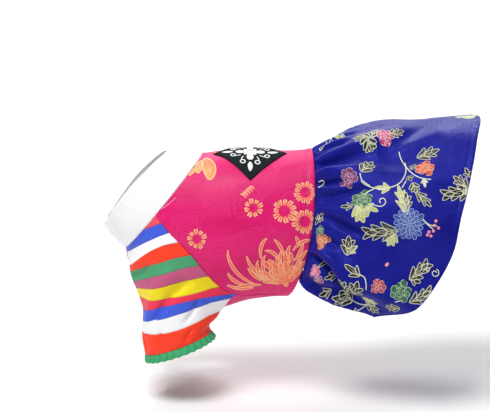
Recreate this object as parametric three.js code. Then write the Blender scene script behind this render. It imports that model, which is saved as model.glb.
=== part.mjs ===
// A hanbok dress for a small dog, as it stands when worn: a white band collar, a rose brocade jacket
// with striped raglan sleeves and ruffled cuffs, a black patch over the back, and a gathered blue skirt
// that is open under the belly.
//
// Millimetres. X runs along the back with the tail at +X, the dog's left side is -Y, and Z is up.
// The origin is on the inside of the jacket, on the line of the spine, where the dog's back carries it.
import * as THREE from "three";

// ---- Cloth -------------------------------------------------------------------------------------
const COLLAR_CLOTH = 2;
const JACKET_CLOTH = 1.6;
const SLEEVE_CLOTH = 1.4;
const SKIRT_CLOTH = 1.4;
const PATCH_CLOTH = 1.2;
const RUFFLE_CLOTH = 1.5;
const SEAM_GAP = 0.35;

// ---- The dog's trunk inside the jacket ---------------------------------------------------------
// Rings from the neckline back to the waist, evenly numbered. Each has its top on the spine and its
// bottom on the chest or belly, half its width, and how far its sides lie behind the line between the
// two. sideSeam and chestSeam are angles round the ring, 0 at the spine and 180 below: the jacket ends
// at sideSeam, the chest panel starts at chestSeam, and a sleeve fills what lies between.
const TRUNK = [
  { topX: -43.7, topZ: -3, bottomX: -115, bottomZ: -89, halfWidth: 43, lean: 0, sideSeam: 99, chestSeam: 163 },
  { topX: -24, topZ: -1, bottomX: -107, bottomZ: -113, halfWidth: 50, lean: 0, sideSeam: 100, chestSeam: 160 },
  { topX: 0, topZ: 0, bottomX: -78, bottomZ: -140, halfWidth: 55, lean: 1, sideSeam: 107, chestSeam: 154 },
  { topX: 20, topZ: -0.8, bottomX: -37, bottomZ: -147, halfWidth: 56, lean: 3, sideSeam: 128, chestSeam: 142 },
  { topX: 38, topZ: -1, bottomX: 0, bottomZ: -137, halfWidth: 54, lean: 5, sideSeam: 149, chestSeam: 136 },
  { topX: 57.7, topZ: 0.5, bottomX: 36.3, bottomZ: -134, halfWidth: 51, lean: 8, sideSeam: 153, chestSeam: 136 },
];

// The collar's rings, from the neck opening back to the neckline, where it meets the trunk.
const COLLAR = [
  { topX: -77, topZ: -1, bottomX: -133, bottomZ: -64, halfWidth: 36, lean: -5 },
  { topX: -66, topZ: 1, bottomX: -128.5, bottomZ: -72, halfWidth: 38.5, lean: -3 },
  { topX: -55, topZ: 0, bottomX: -122.5, bottomZ: -80, halfWidth: 41, lean: -1 },
  { topX: -43.7, topZ: -3, bottomX: -115, bottomZ: -89, halfWidth: 43, lean: 0 },
];
// Soft vertical folds low on the front of the collar.
const COLLAR_FOLDS = [
  { angle: 150, width: 9, depth: -2.2 },
  { angle: 167, width: 8, depth: 1.8 },
  { angle: 186, width: 8, depth: -1.8 },
  { angle: 204, width: 10, depth: 1.6 },
];

// ---- Sleeves -----------------------------------------------------------------------------------
const UNDERARM = 0.69; // how far back from neckline to waist the two raglan seams meet
const CUFF = { x: -66, side: 39, z: -171, halfLength: 31, halfWidth: 25, tilt: 19.5 };
const SLEEVE_PULL = 0.62; // how strongly the sleeve keeps the trunk's direction as it leaves the seam
const SLEEVE_DROP = 0.55; // and how strongly it is drawn straight down into the cuff
const SLEEVE_ASIDE = 0.55; // how far the inside swings away from the chest seam before it falls
// Creases in the sleeve cloth. around runs 0 to 1 from the front edge along the inside to the back edge
// at 0.5 and home over the outside. down is the share of the way from the seam to the cuff.
const SLEEVE_FOLDS = [
  { around: 0, down: 0.28, turn: 0, wide: 0.08, long: 0.1, depth: 1.5 },
  { around: 0, down: 0.54, turn: 0, wide: 0.13, long: 0.17, depth: -6 },
  { around: 0.8, down: 0.56, turn: 0.42, wide: 0.04, long: 0.22, depth: -2.4 },
  { around: 0.77, down: 0.44, turn: 0.42, wide: 0.06, long: 0.2, depth: 2.2 },
  { around: 0.5, down: 0.3, turn: 0, wide: 0.07, long: 0.2, depth: 1.5 },
  { around: 0.52, down: 0.82, turn: 0.2, wide: 0.07, long: 0.12, depth: -2 },
  { around: 0.26, down: 0.6, turn: -0.4, wide: 0.06, long: 0.2, depth: 2 },
  { around: 0.14, down: 0.45, turn: 0.3, wide: 0.06, long: 0.2, depth: -2 },
];
const RUFFLE_LENGTH = 7;
const RUFFLE_WAVES = 28;
const RUFFLE_HEIGHT = 1.1;
const RUFFLE_FLARE = 1.2;

// ---- Skirt -------------------------------------------------------------------------------------
// Ribs of the left half, evenly numbered from the spine to the skirt's lower front edge. waist is the
// angle round the waist ring where the rib starts; hemX, hemSide and hemZ are where it ends; rise is
// how steeply it leaves the waist, and fill how far it swells between the two.
const SKIRT = [
  { waist: 0, hemX: 211, hemSide: 0, hemZ: 31, rise: 22, fill: 0.5 },
  { waist: 24, hemX: 201, hemSide: 50, hemZ: 13, rise: 25, fill: 0.5 },
  { waist: 51, hemX: 188, hemSide: 82, hemZ: -28, rise: 28, fill: 0.52 },
  { waist: 79, hemX: 172, hemSide: 95, hemZ: -74, rise: 30, fill: 0.56 },
  { waist: 106, hemX: 149, hemSide: 89, hemZ: -123, rise: 34, fill: 0.7 },
  { waist: 132, hemX: 112, hemSide: 62, hemZ: -140.5, rise: 35, fill: 0.8 },
];
const SKIRT_GATHERS = 18;
const GATHER_HEIGHT = 1.5;
const GATHER_LENGTH = 0.42; // share of the way to the hem at which the gathers have died out
// Broad folds. around runs from -1 at the right front edge, over the spine, to 1 at the left.
const SKIRT_FOLDS = [
  { around: 0.91, width: 0.05, depth: -8, start: 0, end: 0.95 },
  { around: 0.8, width: 0.07, depth: 4, start: 0, end: 1.3 },
  { around: 0.66, width: 0.06, depth: -3.5, start: 0.02, end: 0.6 },
  { around: 0.52, width: 0.07, depth: 4, start: 0.05, end: 1.1 },
  { around: 0.4, width: 0.05, depth: -3.5, start: 0.3, end: 1.4 },
  { around: 0.28, width: 0.06, depth: -5, start: -0.1, end: 0.62 },
  { around: 0.17, width: 0.07, depth: 4, start: 0.02, end: 1.2 },
  { around: 0.03, width: 0.06, depth: -2.5, start: 0.1, end: 0.9 },
  { around: -0.12, width: 0.07, depth: 4, start: 0.05, end: 1.3 },
  { around: -0.24, width: 0.05, depth: -4.5, start: -0.05, end: 0.7 },
  { around: -0.36, width: 0.06, depth: 3.5, start: 0.1, end: 1.2 },
  { around: -0.5, width: 0.06, depth: -4, start: 0.2, end: 1.3 },
  { around: -0.62, width: 0.07, depth: 4, start: 0.05, end: 1.2 },
  { around: -0.78, width: 0.06, depth: -4, start: 0, end: 0.9 },
  { around: -0.9, width: 0.05, depth: -7, start: 0, end: 1 },
];

// ---- Patch on the back -------------------------------------------------------------------------
// A square of cloth set cornerwise. It sits rolled a little to the left of the spine.
const PATCH = { x: 0, roll: 12, halfDiagonal: 33.5 };
const BACK_RADIUS = 58; // the jacket's length over the back for each radian round the trunk's rings
const PATCH_GAP = 0.3;

// ---- How finely each piece is cut --------------------------------------------------------------
const CUTS = {
  collar: { around: 36, along: 4 },
  jacket: { around: 36, along: 10 },
  chestPanel: { around: 8, along: 14 },
  sleeve: { around: 36, along: 12 },
  cuff: { around: RUFFLE_WAVES * 4, along: 2 },
  skirt: { around: SKIRT_GATHERS * 6, along: 10 },
  patch: { around: 9, along: 9 },
};

// ---- Helpers -----------------------------------------------------------------------------------
const { degToRad, lerp, clamp, smoothstep } = THREE.MathUtils;

// A smooth curve through one column of a table whose rows are evenly numbered from 0 to 1.
function column(rows, name) {
  const curve = new THREE.SplineCurve(rows.map((row, i) => new THREE.Vector2(i, row[name])));
  return (share) => curve.getPoint(clamp(share, 0, 1)).y;
}

// The whole table as one function of the share: every column at once.
function blended(rows) {
  const columns = Object.keys(rows[0]).map((name) => [name, column(rows, name)]);
  return (share) => Object.fromEntries(columns.map(([name, at]) => [name, at(share)]));
}

// A point on a ring. A positive angle is on the dog's left.
function ringPoint(ring, angle) {
  const down = (1 - Math.cos(angle)) / 2;
  const out = Math.sin(angle);
  const deltaX = ring.bottomX - ring.topX;
  const deltaZ = ring.bottomZ - ring.topZ;
  const back = (ring.lean * out * out) / Math.hypot(deltaX, deltaZ);
  return new THREE.Vector3(
    ring.topX + deltaX * down - deltaZ * back,
    -ring.halfWidth * out,
    ring.topZ + deltaZ * down + deltaX * back,
  );
}

// The way out of a surface(a, b), square to it. a runs round to the left and b towards the tail or hem.
function outwards(surface, a, b) {
  const step = 2e-3;
  const alongA = surface(a + step, b).sub(surface(a - step, b));
  const alongB = surface(a, b + step).sub(surface(a, b - step));
  return alongA.cross(alongB).normalize();
}

// A hump of height 1 and the given width round a centre.
function hump(value, centre, width) {
  return Math.exp(-(((value - centre) / width) ** 2));
}

// The closed solid of a cloth wall. point(a, b) is its inner face and out(a, b) the way out of it, with
// a and b from 0 to 1. relief(a, b) lifts both faces. A closed wall joins up round a.
function wall({ point, out, relief = () => 0, thickness, cuts, closed = false }) {
  const columns = closed ? cuts.around : cuts.around + 1;
  const rows = cuts.along + 1;
  const positions = [];
  for (const lift of [0, thickness]) {
    for (let j = 0; j < rows; j += 1) {
      for (let i = 0; i < columns; i += 1) {
        const a = i / cuts.around;
        const b = j / cuts.along;
        const place = point(a, b).addScaledVector(out(a, b), relief(a, b) + lift);
        positions.push(place.x, place.y, place.z);
      }
    }
  }
  const inner = (i, j) => j * columns + (i % columns);
  const outer = (i, j) => rows * columns + inner(i, j);
  const faces = [];
  const quad = (p, q, r, s) => faces.push(p, q, r, p, r, s);
  for (let i = 0; i < cuts.around; i += 1) {
    for (let j = 0; j < cuts.along; j += 1) {
      quad(outer(i, j), outer(i + 1, j), outer(i + 1, j + 1), outer(i, j + 1));
      quad(inner(i, j), inner(i, j + 1), inner(i + 1, j + 1), inner(i + 1, j));
    }
    quad(inner(i, 0), inner(i + 1, 0), outer(i + 1, 0), outer(i, 0));
    quad(inner(i, rows - 1), outer(i, rows - 1), outer(i + 1, rows - 1), inner(i + 1, rows - 1));
  }
  if (!closed) {
    for (let j = 0; j < cuts.along; j += 1) {
      quad(inner(0, j), outer(0, j), outer(0, j + 1), inner(0, j + 1));
      const last = cuts.around;
      quad(inner(last, j), inner(last, j + 1), outer(last, j + 1), outer(last, j));
    }
  }
  const geometry = new THREE.BufferGeometry();
  geometry.setAttribute("position", new THREE.Float32BufferAttribute(positions, 3));
  geometry.setIndex(faces);
  geometry.computeVertexNormals();
  return geometry;
}

// The same solid on the other side of the dog.
function mirrored(geometry) {
  const copy = geometry.clone().scale(1, -1, 1);
  const index = copy.index.array;
  for (let i = 0; i < index.length; i += 3) {
    [index[i + 1], index[i + 2]] = [index[i + 2], index[i + 1]];
  }
  copy.computeVertexNormals();
  return copy;
}

// ---- The surfaces that the pieces are cut from -------------------------------------------------
const trunkRing = blended(TRUNK);
const collarRing = blended(COLLAR);
const skirtRightHalf = SKIRT.slice(1).reverse().map((rib) => ({ ...rib, waist: -rib.waist, hemSide: -rib.hemSide }));
const skirtRibs = blended([...skirtRightHalf, ...SKIRT]);
// side runs from -1 at the right lower edge to 1 at the left.
const skirtRib = (side) => skirtRibs((side + 1) / 2);
const trunk = (angle, share) => ringPoint(trunkRing(share), angle);
const trunkOut = (angle, share) => outwards(trunk, angle, clamp(share, 0.005, 0.995));

// Where the seams lie, as angles in radians.
const sideSeam = (share) => degToRad(trunkRing(share).sideSeam);
const chestSeam = (share) => degToRad(trunkRing(share).chestSeam);
// The lengths that turn a gap in millimetres into a step along or round the trunk.
const TRUNK_LENGTH = 100;
const TRUNK_RADIUS = 62;
const GAP_ALONG = SEAM_GAP / TRUNK_LENGTH;
const GAP_ROUND = SEAM_GAP / TRUNK_RADIUS;

function makeCollar() {
  const surface = (angle, share) => ringPoint(collarRing(share), angle);
  const angleAt = (a) => a * 2 * Math.PI;
  const neckline = 1 - 2 * GAP_ALONG;
  return wall({
    point: (a, b) => surface(angleAt(a), b * neckline),
    out: (a, b) => {
      const own = outwards(surface, angleAt(a), clamp(b, 0.005, 0.97));
      return own.lerp(trunkOut(angleAt(a), 0), smoothstep(b, 0.6, 1)).normalize();
    },
    relief: (a, b) => {
      const folds = COLLAR_FOLDS.map((fold) => fold.depth * hump(a * 360, fold.angle, fold.width));
      return folds.reduce((sum, depth) => sum + depth, 0) * Math.cos((b * Math.PI) / 2);
    },
    thickness: COLLAR_CLOTH,
    cuts: CUTS.collar,
    closed: true,
  });
}

function makeJacket() {
  const shareAt = (b) => lerp(GAP_ALONG, 1 - GAP_ALONG, b);
  const angleAt = (a, b) => lerp(-1, 1, a) * sideSeam(shareAt(b));
  return wall({
    point: (a, b) => trunk(angleAt(a, b), shareAt(b)),
    out: (a, b) => trunkOut(angleAt(a, b), shareAt(b)),
    thickness: JACKET_CLOTH,
    cuts: CUTS.jacket,
  });
}

function makeChestPanel() {
  const shareAt = (b) => lerp(GAP_ALONG, 1 - GAP_ALONG, b);
  const edge = (share) => Math.max(chestSeam(share), sideSeam(share)) + GAP_ROUND;
  const angleAt = (a, b) => lerp(edge(shareAt(b)), 2 * Math.PI - edge(shareAt(b)), a);
  return wall({
    point: (a, b) => trunk(angleAt(a, b), shareAt(b)),
    out: (a, b) => trunkOut(angleAt(a, b), shareAt(b)),
    thickness: JACKET_CLOTH,
    cuts: CUTS.chestPanel,
  });
}

// The edge of the left sleeve's hole as [angle, share] pairs: the chest seam from the neckline back to
// the underarm, and the raglan seam from there up to the shoulder and down the neckline to the front.
function sleeveHole() {
  const steps = 40;
  const underarm = UNDERARM - GAP_ALONG;
  const chest = [];
  const raglan = [];
  const neckline = [];
  for (let i = 0; i <= steps; i += 1) {
    const back = lerp(GAP_ALONG, underarm, i / steps);
    chest.push([Math.max(chestSeam(back) - GAP_ROUND, sideSeam(back) + GAP_ROUND), back]);
    const forward = lerp(underarm, GAP_ALONG, i / steps);
    raglan.push([sideSeam(forward) + GAP_ROUND, forward]);
    const shoulder = sideSeam(GAP_ALONG) + GAP_ROUND;
    const front = chestSeam(GAP_ALONG) - GAP_ROUND;
    neckline.push([lerp(shoulder, front, i / steps), GAP_ALONG]);
  }
  return { inside: chest, outside: [...raglan, ...neckline.slice(1)] };
}

// Walks a share of the length of a row of [angle, share] pairs on the trunk.
function walker(pairs) {
  const places = pairs.map(([angle, share]) => trunk(angle, share));
  const lengths = [0];
  for (let i = 1; i < places.length; i += 1) {
    lengths.push(lengths[i - 1] + places[i].distanceTo(places[i - 1]));
  }
  const total = lengths.at(-1);
  return (share) => {
    const wanted = clamp(share, 0, 1) * total;
    const next = Math.max(1, lengths.findIndex((length) => length >= wanted));
    const part = (wanted - lengths[next - 1]) / (lengths[next] - lengths[next - 1] || 1);
    return pairs[next - 1].map((value, k) => lerp(value, pairs[next][k], part));
  };
}

const hole = sleeveHole();
const insideEdge = walker(hole.inside);
const outsideEdge = walker(hole.outside);
// a from 0 to 0.5 runs back along the inside of the sleeve, and on to 1 forward over its outside.
function sleeveSeam(a) {
  const around = a - Math.floor(a);
  return around < 0.5 ? insideEdge(around * 2) : outsideEdge(around * 2 - 1);
}

function cuffPoint(a) {
  const angle = a * 2 * Math.PI;
  const forward = Math.cos(angle) * CUFF.halfLength;
  const tilt = degToRad(CUFF.tilt);
  return new THREE.Vector3(
    CUFF.x - forward * Math.cos(tilt),
    -CUFF.side + Math.sin(angle) * CUFF.halfWidth,
    CUFF.z - forward * Math.sin(tilt),
  );
}
const cuffDown = new THREE.Vector3(
  Math.sin(degToRad(CUFF.tilt)),
  0,
  -Math.cos(degToRad(CUFF.tilt)),
);

// The sleeve sweeps from its seam to the cuff. On the outside it leaves along the trunk, on the inside it
// swings aside from the chest and falls, and it arrives straight down.
function sleeve(a, b) {
  const [angle, share] = sleeveSeam(a);
  const start = trunk(angle, share);
  const end = cuffPoint(a);
  const normal = trunkOut(angle, share);
  const reach = end.clone().sub(start);
  const length = reach.length();
  const outside = smoothstep(-Math.sin(a * 2 * Math.PI), -0.3, 0.5);
  const alongSeam = trunk(...sleeveSeam(a + 0.03)).sub(trunk(...sleeveSeam(a - 0.03)));
  const aside = normal.clone().cross(alongSeam).setLength((1 - outside) * SLEEVE_ASIDE * length);
  const leave = reach.clone().addScaledVector(normal, -outside * reach.dot(normal)).add(aside);
  const arrive = cuffDown.clone().setLength(length * SLEEVE_DROP);
  return hermite(start, leave.setLength(length * SLEEVE_PULL), end, arrive, b);
}

function hermite(start, leave, end, arrive, t) {
  const t2 = t * t;
  const t3 = t2 * t;
  return start
    .clone()
    .multiplyScalar(2 * t3 - 3 * t2 + 1)
    .addScaledVector(leave, t3 - 2 * t2 + t)
    .addScaledVector(end, 3 * t2 - 2 * t3)
    .addScaledVector(arrive, t3 - t2);
}

function sleeveOut(a, b) {
  const own = outwards(sleeve, a, clamp(b, 0.03, 0.98));
  const [angle, share] = sleeveSeam(a);
  return trunkOut(angle, share).lerp(own, smoothstep(b, 0, 0.3)).normalize();
}

function sleeveRelief(a, b) {
  const folds = SLEEVE_FOLDS.map((fold) => {
    const down = b - fold.down;
    const around = ((a - fold.around - fold.turn * down + 1.5) % 1) - 0.5;
    return fold.depth * hump(around, 0, fold.wide) * hump(down, 0, fold.long);
  });
  const ends = smoothstep(b, 0, 0.2) * smoothstep(1 - b, 0, 0.12);
  return folds.reduce((sum, depth) => sum + depth, 0) * ends;
}

function makeSleeve() {
  return wall({
    point: sleeve,
    out: sleeveOut,
    relief: sleeveRelief,
    thickness: SLEEVE_CLOTH,
    cuts: CUTS.sleeve,
    closed: true,
  });
}

// A ruffled band that carries on from the sleeve's end and flares in waves.
function makeCuff() {
  const out = (a) => outwards(sleeve, a, 0.98);
  return wall({
    point: (a, b) => {
      const down = SEAM_GAP + b * (RUFFLE_LENGTH - SEAM_GAP);
      return cuffPoint(a).addScaledVector(cuffDown, down).addScaledVector(out(a), RUFFLE_FLARE * b);
    },
    out,
    relief: (a, b) => RUFFLE_HEIGHT * (0.4 + 0.6 * b) * Math.cos(a * 2 * Math.PI * RUFFLE_WAVES),
    thickness: RUFFLE_CLOTH,
    cuts: CUTS.cuff,
    closed: true,
  });
}

// The skirt's surface before its folds. side runs from -1 to 1 over the back, b from waist to hem.
function skirt(side, b) {
  const rib = skirtRib(side);
  const angle = degToRad(rib.waist);
  const start = trunk(angle, 1);
  const end = new THREE.Vector3(rib.hemX, -rib.hemSide, rib.hemZ);
  const reach = end.clone().sub(start);
  const length = reach.length();
  const out = trunkOut(angle, 1);
  const trunkAlong = start.clone().sub(trunk(angle, 0.98)).normalize();
  const rise = degToRad(rib.rise);
  const straight = reach.clone().normalize();
  const outward = out.addScaledVector(straight, -out.dot(straight)).normalize();
  const leave = straight.clone().multiplyScalar(Math.cos(rise)).addScaledVector(outward, Math.sin(rise));
  const arrive = straight.clone().addScaledVector(outward, -Math.sin(rise) * rib.fill * 0.5);
  leave.setLength(length * (0.9 + 0.3 * rib.fill));
  arrive.setLength(length * 0.9);
  start.addScaledVector(trunkAlong, SEAM_GAP);
  return hermite(start, leave, end, arrive, b);
}

function skirtRelief(side, b) {
  const fade = (1 - smoothstep(b, 0, GATHER_LENGTH)) * (1 + 2 * b);
  const gathers = GATHER_HEIGHT * fade * Math.cos(side * Math.PI * SKIRT_GATHERS);
  const folds = SKIRT_FOLDS.map((fold) => {
    const grow = smoothstep(b, fold.start, fold.start + 0.35) * (1 - smoothstep(b, fold.end - 0.35, fold.end));
    return fold.depth * hump(side, fold.around, fold.width * (0.6 + 0.6 * b)) * grow;
  });
  return folds.reduce((sum, depth) => sum + depth, gathers);
}

function makeSkirt() {
  const sideAt = (a) => lerp(-1, 1, a);
  const surface = (a, b) => skirt(sideAt(a), b);
  const waistAngle = (a) => degToRad(skirtRib(sideAt(a)).waist);
  return wall({
    point: surface,
    out: (a, b) => {
      const own = outwards(surface, clamp(a, 0.01, 0.99), clamp(b, 0.02, 0.98));
      return trunkOut(waistAngle(a), 1).lerp(own, smoothstep(b, 0, 0.2)).normalize();
    },
    relief: (a, b) => skirtRelief(sideAt(a), b),
    thickness: SKIRT_CLOTH,
    cuts: CUTS.skirt,
  });
}

// The share along the trunk at which its surface has the wanted x at this angle.
function shareAtX(x, angle) {
  let low = 0;
  let high = 1;
  for (let i = 0; i < 24; i += 1) {
    const middle = (low + high) / 2;
    if (trunk(angle, middle).x < x) low = middle;
    else high = middle;
  }
  return (low + high) / 2;
}

// The patch lies on the jacket's outer face. a and b run along its two edges from the corner at the neck.
function makePatch() {
  const place = (a, b) => {
    const angle = degToRad(PATCH.roll) + ((a - b) * PATCH.halfDiagonal) / BACK_RADIUS;
    const x = PATCH.x + (a + b - 1) * PATCH.halfDiagonal;
    return [angle, shareAtX(x, angle)];
  };
  return wall({
    point: (a, b) => trunk(...place(a, b)),
    out: (a, b) => trunkOut(...place(a, b)),
    relief: () => JACKET_CLOTH + PATCH_GAP,
    thickness: PATCH_CLOTH,
    cuts: CUTS.patch,
  });
}

// ---- Assembly ----------------------------------------------------------------------------------
const cloth = (color, roughness) => new THREE.MeshStandardMaterial({ color, roughness, metalness: 0 });
const whiteCloth = cloth(0xf4f4f2, 0.9);
const roseBrocade = cloth(0xd62a74, 0.55);
const stripedCloth = cloth(0xd8433a, 0.7);
const greenCloth = cloth(0x2f9a62, 0.7);
const blueBrocade = cloth(0x1c1f9e, 0.45);
const blackFelt = cloth(0x101414, 0.95);

const dress = new THREE.Group();
function add(name, geometry, material) {
  const mesh = new THREE.Mesh(geometry, material);
  mesh.name = name;
  dress.add(mesh);
}

add("collar", makeCollar(), whiteCloth);
add("jacket", makeJacket(), roseBrocade);
add("chest_panel", makeChestPanel(), roseBrocade);
add("patch", makePatch(), blackFelt);
add("skirt", makeSkirt(), blueBrocade);
const sleeveSolid = makeSleeve();
const cuffSolid = makeCuff();
add("sleeve_left", sleeveSolid, stripedCloth);
add("sleeve_right", mirrored(sleeveSolid), stripedCloth);
add("cuff_left", cuffSolid, greenCloth);
add("cuff_right", mirrored(cuffSolid), greenCloth);

export default dress;
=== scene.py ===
"""The looks of a hanbok dress for a small dog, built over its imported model.

Lengths in the shape code are millimetres: X runs along the back with the tail at +X, the dog's left side
is -Y and Z is up. A sheet of cloth is a surface of two shares, a round the dog and b towards the tail or
the hem, and everything that lies on a sheet is laid by those shares, so it follows every fold.
"""

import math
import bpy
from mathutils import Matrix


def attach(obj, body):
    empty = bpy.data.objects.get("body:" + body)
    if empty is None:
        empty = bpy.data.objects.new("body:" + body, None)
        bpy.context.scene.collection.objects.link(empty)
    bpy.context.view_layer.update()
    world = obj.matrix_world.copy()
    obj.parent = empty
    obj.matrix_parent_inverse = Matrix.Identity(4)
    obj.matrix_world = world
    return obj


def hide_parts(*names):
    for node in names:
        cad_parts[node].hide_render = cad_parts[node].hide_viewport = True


bl_info = {
    "name": "Dog Hanbok Dress",
    "version": (1, 0, 0),
    "blender": (4, 5, 0),
    "location": "3D View > Sidebar > Hanbok",
    "description": "Builds the cloth, the woven flowers and the studio of a small dog's hanbok dress",
    "category": "Object",
}

import bpy
import numpy as np

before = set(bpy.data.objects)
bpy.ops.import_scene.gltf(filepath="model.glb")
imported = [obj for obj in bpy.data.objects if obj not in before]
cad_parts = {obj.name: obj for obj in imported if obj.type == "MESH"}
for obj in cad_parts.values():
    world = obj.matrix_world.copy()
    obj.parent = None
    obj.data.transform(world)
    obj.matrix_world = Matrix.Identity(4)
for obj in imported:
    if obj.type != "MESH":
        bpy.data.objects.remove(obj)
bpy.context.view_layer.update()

TURN = 2 * math.pi

# ---- The dog's trunk and the rows that every sheet is cut from -----------------------------------
# top x, top z, bottom x, bottom z, half width, lean, side seam and chest seam in degrees
TRUNK = np.array([
    (-43.7, -3, -115, -89, 43, 0, 99, 163),
    (-24, -1, -107, -113, 50, 0, 100, 160),
    (0, 0, -78, -140, 55, 1, 107, 154),
    (20, -0.8, -37, -147, 56, 3, 128, 142),
    (38, -1, 0, -137, 54, 5, 149, 136),
    (57.7, 0.5, 36.3, -134, 51, 8, 153, 136),
])
COLLAR = np.array([
    (-77, -1, -133, -64, 36, -5),
    (-66, 1, -128.5, -72, 38.5, -3),
    (-55, 0, -122.5, -80, 41, -1),
    (-43.7, -3, -115, -89, 43, 0),
])
COLLAR_FOLDS = ((150, 9, -2.2), (167, 8, 1.8), (186, 8, -1.8), (204, 10, 1.6))
UNDERARM = 0.69
CUFF_X, CUFF_SIDE, CUFF_Z, CUFF_LONG, CUFF_WIDE, CUFF_TILT = -66, 39, -171, 31, 25, math.radians(19.5)
SLEEVE_PULL, SLEEVE_DROP, SLEEVE_ASIDE = 0.62, 0.55, 0.55
# around, down, turn, width, length, depth
SLEEVE_FOLDS = (
    (0, 0.28, 0, 0.08, 0.1, 1.5),
    (0, 0.54, 0, 0.13, 0.17, -6),
    (0.8, 0.56, 0.42, 0.04, 0.22, -2.4),
    (0.77, 0.44, 0.42, 0.06, 0.2, 2.2),
    (0.5, 0.3, 0, 0.07, 0.2, 1.5),
    (0.52, 0.82, 0.2, 0.07, 0.12, -2),
    (0.26, 0.6, -0.4, 0.06, 0.2, 2),
    (0.14, 0.45, 0.3, 0.06, 0.2, -2),
)
RUFFLE_LENGTH, RUFFLE_WAVES, RUFFLE_HEIGHT, RUFFLE_FLARE = 7, 28, 1.1, 1.2
# waist in degrees, hem x, hem side, hem z, rise, fill
SKIRT = np.array([
    (0, 211, 0, 31, 22, 0.5),
    (24, 201, 50, 13, 25, 0.5),
    (51, 188, 82, -28, 28, 0.52),
    (79, 172, 95, -74, 30, 0.56),
    (106, 149, 89, -123, 34, 0.7),
    (132, 112, 62, -140.5, 35, 0.8),
])
SKIRT = np.concatenate([SKIRT[:0:-1] * (-1, 1, -1, 1, 1, 1), SKIRT])
SKIRT_GATHERS, GATHER_HEIGHT, GATHER_LENGTH, HEM_BULGE = 18, 1.5, 0.42, 4.6
# around, width, depth, start, end
SKIRT_FOLDS = (
    (0.91, 0.05, -8, 0, 0.95), (0.8, 0.07, 4, 0, 1.3), (0.66, 0.06, -3.5, 0.02, 0.6),
    (0.52, 0.07, 4, 0.05, 1.1), (0.4, 0.05, -3.5, 0.3, 1.4), (0.28, 0.06, -5, -0.1, 0.62),
    (0.17, 0.07, 4, 0.02, 1.2), (0.03, 0.06, -2.5, 0.1, 0.9), (-0.12, 0.07, 4, 0.05, 1.3),
    (-0.24, 0.05, -4.5, -0.05, 0.7), (-0.36, 0.06, 3.5, 0.1, 1.2), (-0.5, 0.06, -4, 0.2, 1.3),
    (-0.62, 0.07, 4, 0.05, 1.2), (-0.78, 0.06, -4, 0, 0.9), (-0.9, 0.05, -7, 0, 1),
)
# Creases: depth and width in millimetres, and the shares of the sheet that each runs through.
SKIRT_CREASES = (
    (-11.0, 3.9, ((0.797, 0.0), (0.786, 0.12), (0.797, 0.22), (0.836, 0.33), (0.9, 0.48), (0.95, 0.62))),
    (5.2, 5.0, ((0.745, 0.06), (0.735, 0.14), (0.748, 0.24), (0.785, 0.34), (0.85, 0.47))),
    (3.6, 6.0, ((0.86, 0.04), (0.88, 0.18), (0.93, 0.36), (0.97, 0.54))),
    (-7.6, 4.4, ((0.262, 0.0), (0.243, 0.145), (0.228, 0.26), (0.215, 0.4))),
    (3.0, 6.0, ((0.32, 0.02), (0.315, 0.16), (0.3, 0.34))),
    (-6.0, 8.0, ((0.215, 0.4), (0.209, 0.463), (0.14, 0.6), (0.075, 0.7))),
    (2.2, 9.0, ((0.12, 0.36), (0.08, 0.5), (0.02, 0.64))),
    (-6.4, 3.8, ((0.47, 0.0), (0.468, 0.13), (0.44, 0.27), (0.42, 0.38))),
    (-4.6, 3.0, ((0.4, 0.0), (0.39, 0.12), (0.385, 0.22))),
    (-6.0, 3.8, ((0.56, 0.0), (0.575, 0.14), (0.6, 0.27), (0.62, 0.4))),
    (-4.6, 3.0, ((0.655, 0.0), (0.672, 0.12), (0.69, 0.26))),
    (3.0, 6.0, ((0.7, 0.03), (0.73, 0.2), (0.76, 0.42))),
    (-5.0, 12.0, ((0.6, 0.42), (0.66, 0.7), (0.7, 0.98))),
    (3.6, 12.0, ((0.42, 0.45), (0.4, 0.7), (0.36, 0.97))),
    (-4.2, 3.0, ((0.12, 0.0), (0.13, 0.11), (0.15, 0.22))),
    (-4.2, 3.2, ((0.03, 0.0), (0.02, 0.12), (0.04, 0.26))),
    (-6.0, 15.0, ((0.3, 0.42), (0.25, 0.6), (0.2, 0.84))),
)
SLEEVE_CREASES = (
    (-2.6, 3.2, ((0.675, 0.3), (0.731, 0.448), (0.822, 0.657), (0.876, 0.715))),
    (1.7, 5.0, ((0.73, 0.3), (0.79, 0.42), (0.87, 0.56))),
    (-2.4, 3.0, ((1.0, 0.29), (0.963, 0.303), (0.906, 0.327), (0.846, 0.345))),
    (1.6, 4.5, ((0.98, 0.2), (0.93, 0.235), (0.86, 0.255))),
    (-1.8, 2.8, ((0.633, 0.43), (0.66, 0.6), (0.7, 0.72))),
    (-1.6, 2.6, ((0.8, 0.93), (0.82, 0.84), (0.8, 0.74))),
    (-1.5, 2.6, ((0.7, 0.95), (0.69, 0.85), (0.66, 0.78))),
    (-1.4, 3.0, ((0.9, 0.95), (0.93, 0.83), (0.97, 0.74))),
    (-2.0, 3.2, ((0.3, 0.35), (0.25, 0.5), (0.16, 0.62))),
    (-1.6, 2.8, ((0.42, 0.5), (0.36, 0.66), (0.34, 0.8))),
    (-1.4, 2.8, ((0.1, 0.92), (0.14, 0.8), (0.2, 0.7))),
)
PATCH_X, PATCH_ROLL, PATCH_HALF, BACK_RADIUS, PATCH_GAP = 0, math.radians(12), 33.5, 58, 0.3
COLLAR_CLOTH, JACKET_CLOTH, SLEEVE_CLOTH, SKIRT_CLOTH, PATCH_CLOTH, RUFFLE_CLOTH = 2, 1.6, 1.4, 1.4, 1.2, 1.5
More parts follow.
